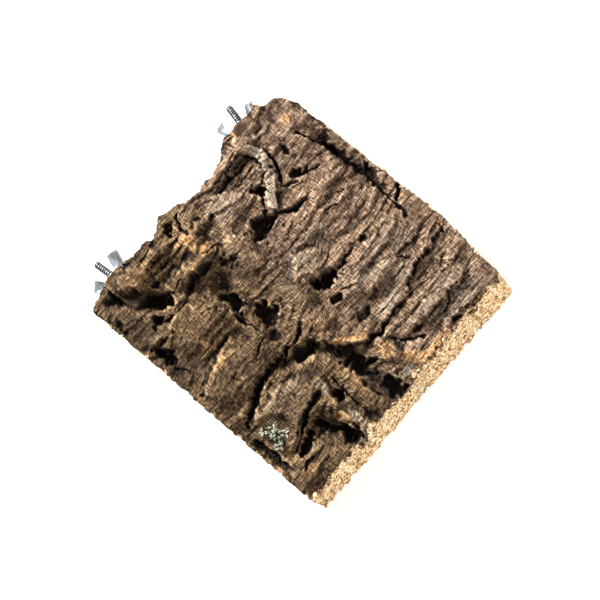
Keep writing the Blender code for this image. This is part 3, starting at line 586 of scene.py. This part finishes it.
def walls_below(rim_x, rim_y, rim_z, run, side):
    """Rows down from the rim to the base: three flat, torn faces and a ragged, broken back."""
    drop = np.linspace(0.0, 1.0, WALL_ROWS + 1)[1:, None]
    wall_z = rim_z * (1.0 - drop)
    natural = (side == BACK_SIDE) * smooth((HALF_WIDTH - np.abs(rim_x)) / 12.0)
    bulge = np.zeros(rim_x.shape)
    for stud_x, _ in STUDS.values():
        bulge = np.maximum(bulge, smooth(2.0 - np.abs(rim_x - stud_x) / STUD_BULGE))
    middle_y = BACK_MIDDLE[0] + BACK_MIDDLE[1] * bulge + 1.8 * noise(rim_x, rim_y, 9.0, 6)
    base_y = BACK_FOOT[0] + BACK_FOOT[1] * bulge + 1.2 * noise(rim_x, rim_y, 11.0, 7)
    upper = smooth(2.0 * drop)
    back_y = rim_y + (middle_y - rim_y) * upper + (base_y - middle_y) * smooth(2.0 * drop - 1.0)
    foot = (SPLAY + SPLAY_TO_RIGHT * rim_x / HALF_WIDTH) * smooth((-60.0 - rim_y) / 44.0)
    ragged = 4.0 * drop * (1.0 - drop) * (1.0 - 0.9 * bulge)
    ledges = 1.6 + 1.3 * noise(rim_x, wall_z, 5.0, 10) + 0.9 * noise(0.4 * rim_x, wall_z, 1.9, 11)
    back_y = back_y - ragged * ledges
    wall_y = rim_y + natural * (back_y - rim_y) - foot * drop
    # The saw leaves a flat face; cork tears out of it in grains and along the layers
    torn_depth = torn_cork(run, wall_z)
    torn = torn_depth - torn_cork(run, rim_z)
    wall_x = rim_x - torn * (side == RIGHT_SIDE) + torn * (side == LEFT_SIDE)
    wall_y = wall_y + torn * (side == FRONT_SIDE)
    return wall_x, wall_y, wall_z, torn_depth


def cork_slab():
    """A grid over the bark, walls of rows from its rim to the base, and a flat underside."""
    x, y, z, seen, front = bark_grid()
    grid = np.arange(x.size).reshape(x.shape)
    rim = np.concatenate((grid[0, :-1], grid[:-1, -1], grid[-1, :0:-1], grid[:0:-1, 0]))
    side = np.repeat([FRONT_SIDE, RIGHT_SIDE, BACK_SIDE, LEFT_SIDE], [COLUMNS, ROWS, COLUMNS, ROWS])
    rim_x, rim_y, rim_z, rim_seen = (field.ravel()[rim] for field in (x, y, z, seen))
    run = np.where((side == FRONT_SIDE) | (side == BACK_SIDE), rim_x, rim_seen)
    wall_x, wall_y, wall_z, torn_depth = walls_below(rim_x, rim_y, rim_z, run, side)
    top = np.column_stack((x.ravel(), y.ravel(), z.ravel()))
    walls = np.column_stack((wall_x.ravel(), wall_y.ravel(), wall_z.ravel()))
    points = pared_for_studs(np.concatenate((top, walls)))
    count = len(rim)
    rings = np.vstack((rim, x.size + np.arange(WALL_ROWS * count).reshape(WALL_ROWS, count)))
    faces = np.stack((grid[:-1, :-1], grid[:-1, 1:], grid[1:, 1:], grid[1:, :-1]), axis=-1)
    faces = faces.reshape(-1, 4).tolist()
    ahead = np.roll(rings, -1, axis=1)
    bands = np.stack((rings[1:], ahead[1:], ahead[:-1], rings[:-1]), axis=-1).reshape(-1, 4)
    made = piece("bark_slab", points, faces + bands.tolist() + [rings[-1][::-1].tolist()])
    # Bark hangs over the sawn faces in places, and in others its edge has crumbled off
    wall_kind = np.tile(np.where(side == BACK_SIDE, BROKEN, SAWN), (WALL_ROWS, 1))
    hangs = 4.5 * noise(run, wall_z, 2.2, 17) + 5.0 * noise(run, 0.5 * wall_z, 6.0, 18) + 0.8
    wall_kind = np.where((rim_z - wall_z < hangs) & (side != BACK_SIDE), BARK, wall_kind)
    crumbled = summed(((3.8, 2.2, 19), (3.4, 6.0, 20)), x, seen) - 0.2
    bark_kind = np.where(seen - front < crumbled, SAWN, BARK)[1:, 1:]
    kind = np.concatenate((bark_kind.ravel(), wall_kind.ravel(), [BELLY]))
    made.data.polygons.foreach_set("material_index", kind)
    # What the finish follows: growth lines, painted shade in hollows, painted light and shade on small crests
    # and dips, and patches; loose flakes are pale
    spare = np.zeros(len(walls))
    pale = patches(PALE_PATCHES, x, seen)
    for points, half, _ in FLAKES:
        pale = np.maximum(pale, 0.8 * flake_share(points, half, *bent(x, seen)))
    # Painted shade goes where a place lies below the mean of the bark round it, far or near, or very deep,
    # and on the walls where the saw tore deepest
    deep = 0.62 * (averaged(z, 9) - z) / 5.5 + 0.6 * (averaged(z, 4) - z) / 2.6
    hollow_shade = smooth(deep + 0.4 * smooth((24.0 - z) / 8.0))
    marks = {
        "growth": (growth_line(x, seen).ravel() + 0.4 * z.ravel(), wall_z.ravel()),
        "hollow_shade": (hollow_shade.ravel(), smooth((torn_depth - 1.2) / 2.4).ravel()),
        "crest": ((z - averaged(z, 2)).ravel(), spare),
        "tan": (patches(TAN_PATCHES, x, seen).ravel(), spare),
        "pale": (pale.ravel(), spare),
        "dark": (patches(DARK_AND_SHADE_PATCHES, x, seen).ravel(), spare),
    }
    for name, (over_bark, over_walls) in marks.items():
        attribute = made.data.attributes.new(name, "FLOAT", "POINT")
        attribute.data.foreach_set("value", np.concatenate((over_bark, over_walls)).astype(np.float32))
    return made


slab = cork_slab()

# Weathered cork bark: dry, matt, fibrous along the growth lines, brown grey where it has weathered, rust and
# tan where it is freshly broken; painted shade makes it nearly black in the furrows and hollows and darker in
# patches that lie in shade.
CORK = {"IOR": 1.45, "Specular IOR Level": 0.25}
bark, tree, shader, mm = material("weathered_cork_bark", CORK | {"Roughness": 0.93})
along = node(tree, "SeparateXYZ", [mm])
marks = {}
for name in ("growth", "hollow_shade", "crest", "tan", "pale", "dark"):
    marks[name] = node(tree, "Attribute", attribute_name=name).outputs["Fac"]
fibres = node(tree, "CombineXYZ", [along, marks["growth"]])
crossing = node(tree, "CombineXYZ", [marks["growth"], along])
# Fibres, cracks across them, broad bands, blotches and grit: size in mm, detail, roughness, gain
patterns = {
    "fibre": (fibres, (8.0, 0.9, 1.0), 1.0, 0.65, 0.60), "hatch": (crossing, (4.5, 1.0, 1.0), 0.0, 0.6, 0.34),
    "band": (fibres, (28.0, 3.6, 1.0), 3.0, 0.55, 0.10), "blotch": (mm, (17.0, 17.0, 17.0), 4.0, 0.6, 0.24),
    "grit": (mm, (1.3, 1.3, 1.3), 1.0, 0.6, 0.26),
}
middle = 0.5 - 0.5 * sum(grain[-1] for grain in patterns.values())
# Painted light and shade: small crests are a little lighter and small dips a little darker
level = node(tree, "Math", [marks["crest"], 0.06, middle], operation="MULTIPLY_ADD")
grains = {}
for name, (ground, size, detail, rough, gain) in patterns.items():
    spread = node(tree, "VectorMath", [ground, (1, size)], operation="DIVIDE")
    grains[name] = node(tree, "TexNoise", [
        ("Vector", spread), ("Scale", 1.0), ("Detail", detail), ("Roughness", rough),
    ])
    level = node(tree, "Math", [grains[name], gain, level], operation="MULTIPLY_ADD")
olive = node(tree, "ValToRGB", [level], stops=[
    (0.28, "#120b07"), (0.76, "#bda177"), (0.41, "#342518"), (0.50, "#56422b"), (0.60, "#7e6446"),
])
pinkish = node(tree, "ValToRGB", [level], stops=[
    (0.28, "#21150f"), (0.74, "#d8bd9f"), (0.41, "#4a372a"), (0.50, "#725a47"), (0.59, "#997d63"),
])
rust = node(tree, "ValToRGB", [level], stops=[(0.36, "#3d2817"), (0.68, "#e6c191"), (0.50, "#a87a4c")])
bleached = node(tree, "ValToRGB", [level], stops=[(0.36, "#54463a"), (0.68, "#dccdb6"), (0.50, "#a08e79")])
# Each patch is broken up by noise 5 mm across: its mark, gain, the noise's share and what is taken off
uneven = node(tree, "TexNoise", [("Vector", mm), ("Scale", 1.0 / 5.0), ("Detail", 3.0), ("Roughness", 0.7)])
uneven = node(tree, "Math", [uneven, 0.5], operation="SUBTRACT")
shares = {}
for name, mark, gain, unevenness, less in (
    ("lit", along, 0.022, 0.8, -0.5), ("tan", marks["tan"], 1.6, 2.88, 0.64),
    ("pale", marks["pale"], 0.85, 1.87, 0.102), ("dark", marks["dark"], 0.72, 0.72, 0.0),
):
    broken_up = node(tree, "Math", [uneven, unevenness, -less], operation="MULTIPLY_ADD")
    shares[name] = node(tree, "Math", [mark, gain, broken_up], operation="MULTIPLY_ADD", use_clamp=True)
# Painted shade makes the hollows nearly black; noise 2.6 mm across breaks it up so that it is not evenly
# black
shade_breakup = node(tree, "TexNoise", [("Vector", mm), ("Scale", 1.0 / 2.6), ("Detail", 2.0), ("Roughness", 0.6)])
shade_breakup = node(tree, "Math", [shade_breakup, -2.34, 2.07], operation="MULTIPLY_ADD")
shares["painted_hollow_shade"] = node(tree, "Math", [marks["hollow_shade"], shade_breakup], operation="MULTIPLY", use_clamp=True)
colour = olive.outputs[0]
# Blends in order: pinkish towards the right, bleached, dark (partly painted shade), rust tan, and the painted
# shade of the hollows
for name, other in (
    ("lit", pinkish), ("pale", bleached), ("dark", tone("#33261c")), ("tan", rust),
    ("painted_hollow_shade", tone("#150e09")),
):
    colour = node(tree, "Mix", [(0, shares[name]), (6, colour), (7, other)], data_type="RGBA").outputs[2]
bumps = node(tree, "Math", [grains["hatch"], 0.4], operation="MULTIPLY")
bumps = node(tree, "Math", [grains["fibre"], 0.65, bumps], operation="MULTIPLY_ADD")
bumps = node(tree, "Math", [grains["grit"], 0.25, bumps], operation="MULTIPLY_ADD")
rise = node(tree, "Bump", [("Strength", 1.0), ("Distance", 0.0022), ("Height", bumps)])
plug(tree, shader, [("Base Color", colour), ("Normal", rise)])

# Sawn cork: pale and fine grained, crossed by the thin dark lines between growth layers and by
# brown lenticel pores; a saw leaves it flat and matt.
sawn, tree, shader, mm = material("sawn_cork", CORK | {"Roughness": 0.88})
parts = node(tree, "SeparateXYZ", [mm])
wander = node(tree, "TexNoise", [("Vector", mm), ("Scale", 1.0 / 22.0), ("Detail", 3.0), ("Roughness", 0.55)])
layer = node(tree, "Math", [wander, 9.0, parts.outputs["Z"]], operation="MULTIPLY_ADD")
run = node(tree, "Math", [parts.outputs["X"], parts.outputs["Y"]], operation="ADD")
lines = node(tree, "CombineXYZ", [run, layer])
lines = node(tree, "VectorMath", [lines, (1, (16.0, 0.9, 1.0))], operation="DIVIDE")
lines = node(tree, "TexNoise", [("Vector", lines), ("Scale", 1.0), ("Detail", 4.0), ("Roughness", 0.6)])
level = node(tree, "TexNoise", [("Vector", mm), ("Scale", 1.0 / 1.7), ("Detail", 1.0), ("Roughness", 0.65)])
level = node(tree, "Mix", [(0, 0.75), (2, lines), (3, level)])
colour = node(tree, "ValToRGB", [level], stops=[
    (0.36, "#5f3a1f"), (0.60, "#fff0d0"), (0.43, "#c68d52"), (0.50, "#efc88e"),
])
# Pores 2.4 mm apart, and painted shadow where the saw tore cork out, as torn places lie in their own shadow
pores = node(tree, "TexVoronoi", [("Vector", mm), ("Scale", 0.42), ("Randomness", 1.0)]).outputs["Distance"]
pores = node(tree, "Math", [pores, -9.0, 2.34], operation="MULTIPLY_ADD", use_clamp=True)
torn = node(tree, "Attribute", attribute_name="hollow_shade").outputs["Fac"]
for share, strength, dark in ((pores, 0.7, "#5b3a22"), (torn, 0.9, "#452a18")):
    share = node(tree, "Math", [share, strength], operation="MULTIPLY")
    colour = node(tree, "Mix", [(0, share), (6, colour), (7, tone(dark))], data_type="RGBA").outputs[2]
bumps = node(tree, "Math", [pores, -0.6, level], operation="MULTIPLY_ADD")
rise = node(tree, "Bump", [("Strength", 0.8), ("Distance", 0.0006), ("Height", bumps)])
plug(tree, shader, [("Base Color", colour), ("Normal", rise)])

# Broken cork at the back edge: the layers part in ragged brown and tan steps.
broken, tree, shader, mm = material("broken_cork", CORK | {"Roughness": 0.92})
parts = node(tree, "SeparateXYZ", [mm])
wander = node(tree, "TexNoise", [("Vector", mm), ("Scale", 1.0 / 18.0), ("Detail", 3.0), ("Roughness", 0.55)])
layer = node(tree, "Math", [wander, 8.0, parts.outputs["Z"]], operation="MULTIPLY_ADD")
lines = node(tree, "CombineXYZ", [parts, layer])
lines = node(tree, "VectorMath", [lines, (1, (9.0, 1.4, 1.0))], operation="DIVIDE")
lines = node(tree, "TexNoise", [("Vector", lines), ("Scale", 1.0), ("Detail", 5.0), ("Roughness", 0.62)])
level = node(tree, "TexNoise", [("Vector", mm), ("Scale", 1.0 / 9.0), ("Detail", 4.0), ("Roughness", 0.62)])
level = node(tree, "Mix", [(0, 0.4), (2, lines), (3, level)])
colour = node(tree, "ValToRGB", [level], stops=[
    (0.32, "#21160f"), (0.74, "#c9a47a"), (0.46, "#573e2b"), (0.58, "#896848"),
])
rise = node(tree, "Bump", [("Strength", 0.9), ("Distance", 0.0012), ("Height", level)])
plug(tree, shader, [("Base Color", colour), ("Normal", rise)])

# Inner face of the bark, the belly: smooth corky brown with the ends of lenticel pores.
belly, tree, shader, mm = material("inner_cork_face", CORK | {"Roughness": 0.85})
level = node(tree, "TexNoise", [("Vector", mm), ("Scale", 1.0 / 12.0), ("Detail", 6.0), ("Roughness", 0.65)])
colour = node(tree, "ValToRGB", [level], stops=[(0.34, "#7a583c"), (0.68, "#c9a27a"), (0.50, "#a27c58")])
# Pores 6 mm apart
pores = node(tree, "TexVoronoi", [("Vector", mm), ("Scale", 0.16), ("Randomness", 1.0)]).outputs["Distance"]
pores = node(tree, "Math", [pores, -8.0, 1.6], operation="MULTIPLY_ADD", use_clamp=True)
pores = node(tree, "Math", [pores, 0.75], operation="MULTIPLY")
colour = node(tree, "Mix", [(0, pores), (6, colour), (7, tone("#4a2d19"))], data_type="RGBA").outputs[2]
rise = node(tree, "Bump", [("Strength", 0.6), ("Distance", 0.0008), ("Height", level)])
plug(tree, shader, [("Base Color", colour), ("Normal", rise)])

for made in (bark, sawn, broken, belly):
    slab.data.materials.append(made)
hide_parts("cork_slab")
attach(slab, "bark")


# Lichen: a tuft of pale grey green lobes that grows on the bark near the left edge, in clumps of
# thin curled leaves over a darker mat that clings to the bark.
LICHEN_SEAT = LICHEN_BED + 0.3
LICHEN_RADII = (8.0, 11.0)
# Clumps of lobes: across, along, radius, number of lobes
CLUMPS = [
    (-3.6, 8.2, 3.4, 26), (3.4, 6.4, 3.2, 20), (0.6, 0.6, 4.6, 44), (5.2, -4.6, 3.2, 24),
    (-3.8, -7.0, 3.6, 28),
]


def lichen_lobes():
    """Curled leaves: each a flat ellipse carried along a rising, outward path that snakes as it goes."""
    chance = np.random.default_rng(5)
    clump = np.repeat(np.arange(len(CLUMPS)), [c[3] for c in CLUMPS])
    lobes = len(clump)
    ring = np.sqrt(chance.uniform(0.0, 1.0, lobes))
    angle = chance.uniform(0.0, 2.0 * math.pi, lobes)
    middle = np.array(CLUMPS)[clump]
    spread = 0.72 * middle[:, 2] * ring
    cx = LICHEN_CENTRE[0] + middle[:, 0] + spread * np.cos(angle)
    cy = LICHEN_CENTRE[1] - LEAN * (LICHEN_SEAT - LEVEL) + middle[:, 1] + spread * np.sin(angle)
    heading = angle + chance.uniform(-1.1, 1.1, lobes)
    length = chance.uniform(2.0, 3.4, lobes)
    half = chance.uniform(0.38, 0.72, lobes)
    lift = chance.uniform(0.3, 1.3, lobes) * (1.2 - 0.7 * ring)
    base = LICHEN_SEAT + 0.5 + 1.5 * (1.0 - ring**2)
    rings = 9
    around = 8
    t = np.linspace(0.0, 1.0, rings)[:, None, None]
    u = np.linspace(0.0, 2.0 * math.pi, around + 1)[:-1][None, :, None]
    scallops = 1.0 + 0.45 * np.sin(9.0 * t + 3.0 * heading)
    width = half * np.sin(math.pi * np.clip(0.14 + 0.80 * t, 0.0, 1.0)) * scallops
    snake = 0.45 * np.sin(5.0 * t + 2.0 * angle) * t
    across = width * np.cos(u) + snake
    thick = (0.14 + 0.22 * width) * np.sin(u)
    reach = length * t * (1.0 - 0.12 * t)
    x = cx + reach * np.cos(heading) - across * np.sin(heading)
    y = cy + reach * np.sin(heading) + across * np.cos(heading)
    z = base + lift * np.sin(2.2 * t) + thick + 0.2 * np.cos(u) ** 2
    points = np.stack((x, y, z), axis=-1)
    index = np.arange(rings * around * lobes).reshape(rings, around, lobes)
    ahead = np.roll(index, -1, axis=1)
    faces = np.stack((index[:-1], index[1:], ahead[1:], ahead[:-1]), axis=-1).reshape(-1, 4).tolist()
    caps = np.concatenate((index[0].T, index[-1].T[:, ::-1])).tolist()
    return points.reshape(-1, 3), faces + caps


def lichen_cushion():
    """The mat under the lobes: a low lumpy dome on a ring that runs in and out, closed flat below."""
    around = 96
    rings = 14
    turn = 2.0 * math.pi * np.arange(around) / around
    lobes = 0.74 + 0.10 * np.sin(3.0 * turn + 1.6)
    lobes = lobes + 0.08 * np.sin(7.0 * turn) + 0.06 * np.sin(13.0 * turn + 1.0)
    share = np.linspace(1.0, 0.06, rings)[:, None]
    x = LICHEN_CENTRE[0] + LICHEN_RADII[0] * share * lobes * np.cos(turn)
    y = LICHEN_CENTRE[1] - LEAN * (LICHEN_SEAT - LEVEL) + LICHEN_RADII[1] * share * lobes * np.sin(turn)
    z = LICHEN_SEAT - 0.2 + 1.1 * (1.0 - share**3) * (0.8 + 0.3 * np.sin(1.9 * x) * np.cos(1.7 * y))
    rim = np.column_stack((x[0], y[0], np.full(around, LICHEN_SEAT - 1.5)))
    points = np.concatenate((rim, np.column_stack((x.ravel(), y.ravel(), z.ravel()))))
    index = np.arange((rings + 1) * around).reshape(rings + 1, around)
    ahead = np.roll(index, -1, axis=1)
    faces = np.stack((index[:-1], ahead[:-1], ahead[1:], index[1:]), axis=-1).reshape(-1, 4).tolist()
    return points, faces + [index[0][::-1].tolist(), index[-1].tolist()]


lobe_points, lobe_faces = lichen_lobes()
mat_points, mat_faces = lichen_cushion()
shifted = [[corner + len(lobe_points) for corner in face] for face in mat_faces]
tuft = piece("lichen_lobes", np.concatenate((lobe_points, mat_points)), lobe_faces + shifted)

# Dry foliose lichen: dead matt, pale at the top of the tuft and olive black lower down, partly its darker mat
# and partly painted shade where the lobes overlap.
leaf, tree, shader, mm = material("dry_lichen", {"Roughness": 0.95, "IOR": 1.4, "Specular IOR Level": 0.2})
height = node(tree, "SeparateXYZ", [mm]).outputs["Z"]
level = node(tree, "TexNoise", [("Vector", mm), ("Scale", 1.0), ("Detail", 3.0), ("Roughness", 0.6)])
level = node(tree, "Math", [level, 0.9, -0.45 - 0.30 * (LICHEN_SEAT + 0.4)], operation="MULTIPLY_ADD")
# Lighter with height: partly the lichen's own paler tips, partly painted shade lower in the tuft
level = node(tree, "Math", [height, 0.30, level], operation="MULTIPLY_ADD")
colour = node(tree, "ValToRGB", [level], stops=[
    (0.05, "#211f15"), (0.95, "#c9c9ba"), (0.32, "#5f5d49"), (0.60, "#96957f"),
])
meal = node(tree, "TexNoise", [("Vector", mm), ("Scale", 1.0 / 0.4), ("Detail", 2.0), ("Roughness", 0.5)])
rise = node(tree, "Bump", [("Strength", 0.5), ("Distance", 0.0003), ("Height", meal)])
plug(tree, shader, [("Base Color", colour), ("Normal", rise)])
tuft.data.materials.append(leaf)
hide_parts("lichen_tuft")
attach(tuft, "bark")


# Studs: M6 threaded steel rod, zinc plated, screwed into the back edge of the cork; the thread is
# rolled, 1 mm from turn to turn, and the end is chamfered.
STUD_RADIUS = 3.0
STUD_REACH = 28.0
STUD_SUNK = 18.0
# An M6 thread's 1.0 mm is finer than the picture's grain: it is cut coarser here so that it shows
THREAD_PITCH = 1.9
THREAD_DEPTH = 0.6


def on_stud(side, out, radius, turn):
    """Points round a stud's axis: so far out from the seat, at this radius and turned by this angle."""
    stud_x, angle = STUDS[side]
    c = math.cos(math.radians(angle))
    s = math.sin(math.radians(angle))
    across = radius * np.cos(turn)
    x = stud_x + out * s + across * c
    y = SEAT_Y + out * c - across * s
    z = STUD_HEIGHT - radius * np.sin(turn) + 0.0 * out
    return np.stack(np.broadcast_arrays(x, y, z), axis=-1).reshape(-1, 3)


def swept(index, closed=False):
    """Faces of a grid of points that wraps round along its second direction."""
    ahead = np.roll(index, -1, axis=1)
    if closed:
        index = np.vstack((index, index[:1]))
        ahead = np.vstack((ahead, ahead[:1]))
    return np.stack((index[:-1], index[1:], ahead[1:], ahead[:-1]), axis=-1).reshape(-1, 4).tolist()


def threaded_rod(side):
    """A rod whose radius is a V wave along a helix, fading into the chamfer at the tip."""
    around = 40
    rings = 212
    chamfer = 0.75
    out = np.concatenate(([-STUD_SUNK, -6.0], np.linspace(-1.0, STUD_REACH, rings)))[:, None]
    turn = (2.0 * math.pi * np.arange(around) / around)[None, :]
    wave = out / THREAD_PITCH - turn / (2.0 * math.pi)
    valley = 1.0 - 2.0 * np.abs(wave - np.floor(wave) - 0.5)
    radius = STUD_RADIUS - THREAD_DEPTH * smooth(1.25 * valley - 0.1) * smooth((out + 1.0) * 4.0)
    radius = np.minimum(radius, STUD_RADIUS - chamfer + np.maximum(STUD_REACH - out, 0.0))
    points = on_stud(side, out, radius, turn)
    index = np.arange(len(points)).reshape(len(out), around)
    ends = [index[0].tolist(), index[-1][::-1].tolist()]
    made = piece(side + "_threaded_stud", points, swept(index) + ends)
    # Painted shade: the colour darkens in the roots of the thread
    root_shade = smooth(2.6 * valley - 0.7) * np.ones(radius.shape)
    attribute = made.data.attributes.new("root_shade", "FLOAT", "POINT")
    attribute.data.foreach_set("value", root_shade.ravel().astype(np.float32))
    return made


def washer_ring(side, name, start):
    """A flat ring punched from sheet: a closed outline with one rounded edge, swept round the stud."""
    outline = np.array([
        (3.35, 0.0), (8.9, 0.0), (9.0, 0.12), (9.0, 1.15), (8.9, 1.4), (8.65, 1.57), (8.4, 1.6),
        (3.6, 1.6), (3.35, 1.4),
    ])
    around = 72
    turn = (2.0 * math.pi * np.arange(around) / around)[None, :]
    points = on_stud(side, start + outline[:, 1:2], outline[:, 0:1], turn)
    index = np.arange(len(points)).reshape(len(outline), around)
    return piece(side + name, points, swept(index, True))


def rounded(outline, passes):
    """A closed outline with its corners cut to quarters, a few times over."""
    for _ in range(passes):
        ahead = np.roll(outline, -1, axis=0)
        cuts = (0.75 * outline + 0.25 * ahead, 0.25 * outline + 0.75 * ahead)
        outline = np.stack(cuts, axis=1).reshape(-1, 2)
    return outline


def wing_nut(side, start, wing_turn):
    """A tapered hub swept round the stud, and two plates, each a rounded outline with a soft edge."""
    hub = np.array([
        (3.05, 0.5), (3.5, 0.0), (6.2, 0.0), (6.45, 0.15), (6.5, 0.5), (6.5, 2.0), (5.9, 4.5), (5.45, 6.4),
        (5.2, 6.85), (4.8, 7.0), (3.7, 7.0), (3.05, 6.4),
    ])
    around = 64
    turn = (2.0 * math.pi * np.arange(around) / around)[None, :]
    points = [on_stud(side, start + hub[:, 1:2], hub[:, 0:1], turn)]
    faces = swept(np.arange(len(hub) * around).reshape(len(hub), around), True)
    outline = rounded(np.array([
        (3.9, 1.2), (12.2, 1.2), (12.9, 2.0), (18.6, 14.2), (18.3, 15.4), (10.4, 19.4),
        (9.6, 19.1), (4.6, 6.4),
    ]), 2)
    middle = outline.mean(axis=0)
    inset = np.array([0.02, 0.72, 0.80, 0.93, 0.985, 1.0, 1.0, 0.985, 0.93, 0.80, 0.72, 0.02])[:, None]
    offset = np.array([0.78, 0.78, 0.98, 0.98, 0.82, 0.5, -0.5, -0.82, -0.98, -0.98, -0.78, -0.78])[:, None]
    for outward in (1.0, -1.0):
        radius = middle[0] + inset * (outline[:, 0] - middle[0])
        height = middle[1] + inset * (outline[:, 1] - middle[1])
        flat = offset * outward * np.ones(radius.shape)
        around_axis = np.arctan2(flat, outward * radius) + math.radians(wing_turn)
        start_index = sum(len(block) for block in points)
        points.append(on_stud(side, start + height, np.hypot(radius, flat), around_axis))
        index = start_index + np.arange(radius.size).reshape(radius.shape)
        faces += swept(index) + [index[0].tolist(), index[-1][::-1].tolist()]
    return piece(side + "_clamp_wing_nut", np.concatenate(points), faces)


# Zinc plated steel: bright and faintly blue, with a soft satin gloss; the thread's roots are painted dark as
# shade.
zinc, tree, shader, mm = material("zinc_plated_steel_bright", {"Metallic": 1.0})
cloud = node(tree, "TexNoise", [("Vector", mm), ("Scale", 1.0 / 3.5), ("Detail", 4.0), ("Roughness", 0.6)])
colour = node(tree, "ValToRGB", [cloud], stops=[(0.3, "#8c9196"), (0.7, "#c3c8cc")])
root_shade_share = node(tree, "Attribute", attribute_name="root_shade").outputs["Fac"]
colour = node(tree, "Mix", [(0, root_shade_share), (6, colour), (7, tone("#16181a"))], data_type="RGBA").outputs[2]
gloss = node(tree, "MapRange", [(0, cloud), (3, 0.24), (4, 0.36)])
scuffs = node(tree, "TexNoise", [("Vector", mm), ("Scale", 1.0 / 0.35), ("Detail", 2.0), ("Roughness", 0.5)])
rise = node(tree, "Bump", [("Strength", 0.25), ("Distance", 0.0001), ("Height", scuffs)])
plug(tree, shader, [("Base Color", colour), ("Roughness", gloss), ("Normal", rise)])

for side, wing_turn in (("left", -20.0), ("right", 0.0)):
    rod = threaded_rod(side)
    inner = washer_ring(side, "_seat_washer", 0.3)
    outer = washer_ring(side, "_clamp_washer", 2.2)
    nut = wing_nut(side, 4.1, wing_turn)
    for made, stands_for, body in (
        (rod, "stud", "bark"), (inner, "inner_washer", "bark"),
        (outer, "outer_washer", side + "_clamp_washer"), (nut, "wing_nut", side + "_clamp_nut"),
    ):
        made.data.materials.append(zinc)
        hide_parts(f"{side}_{stands_for}")
        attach(made, body)
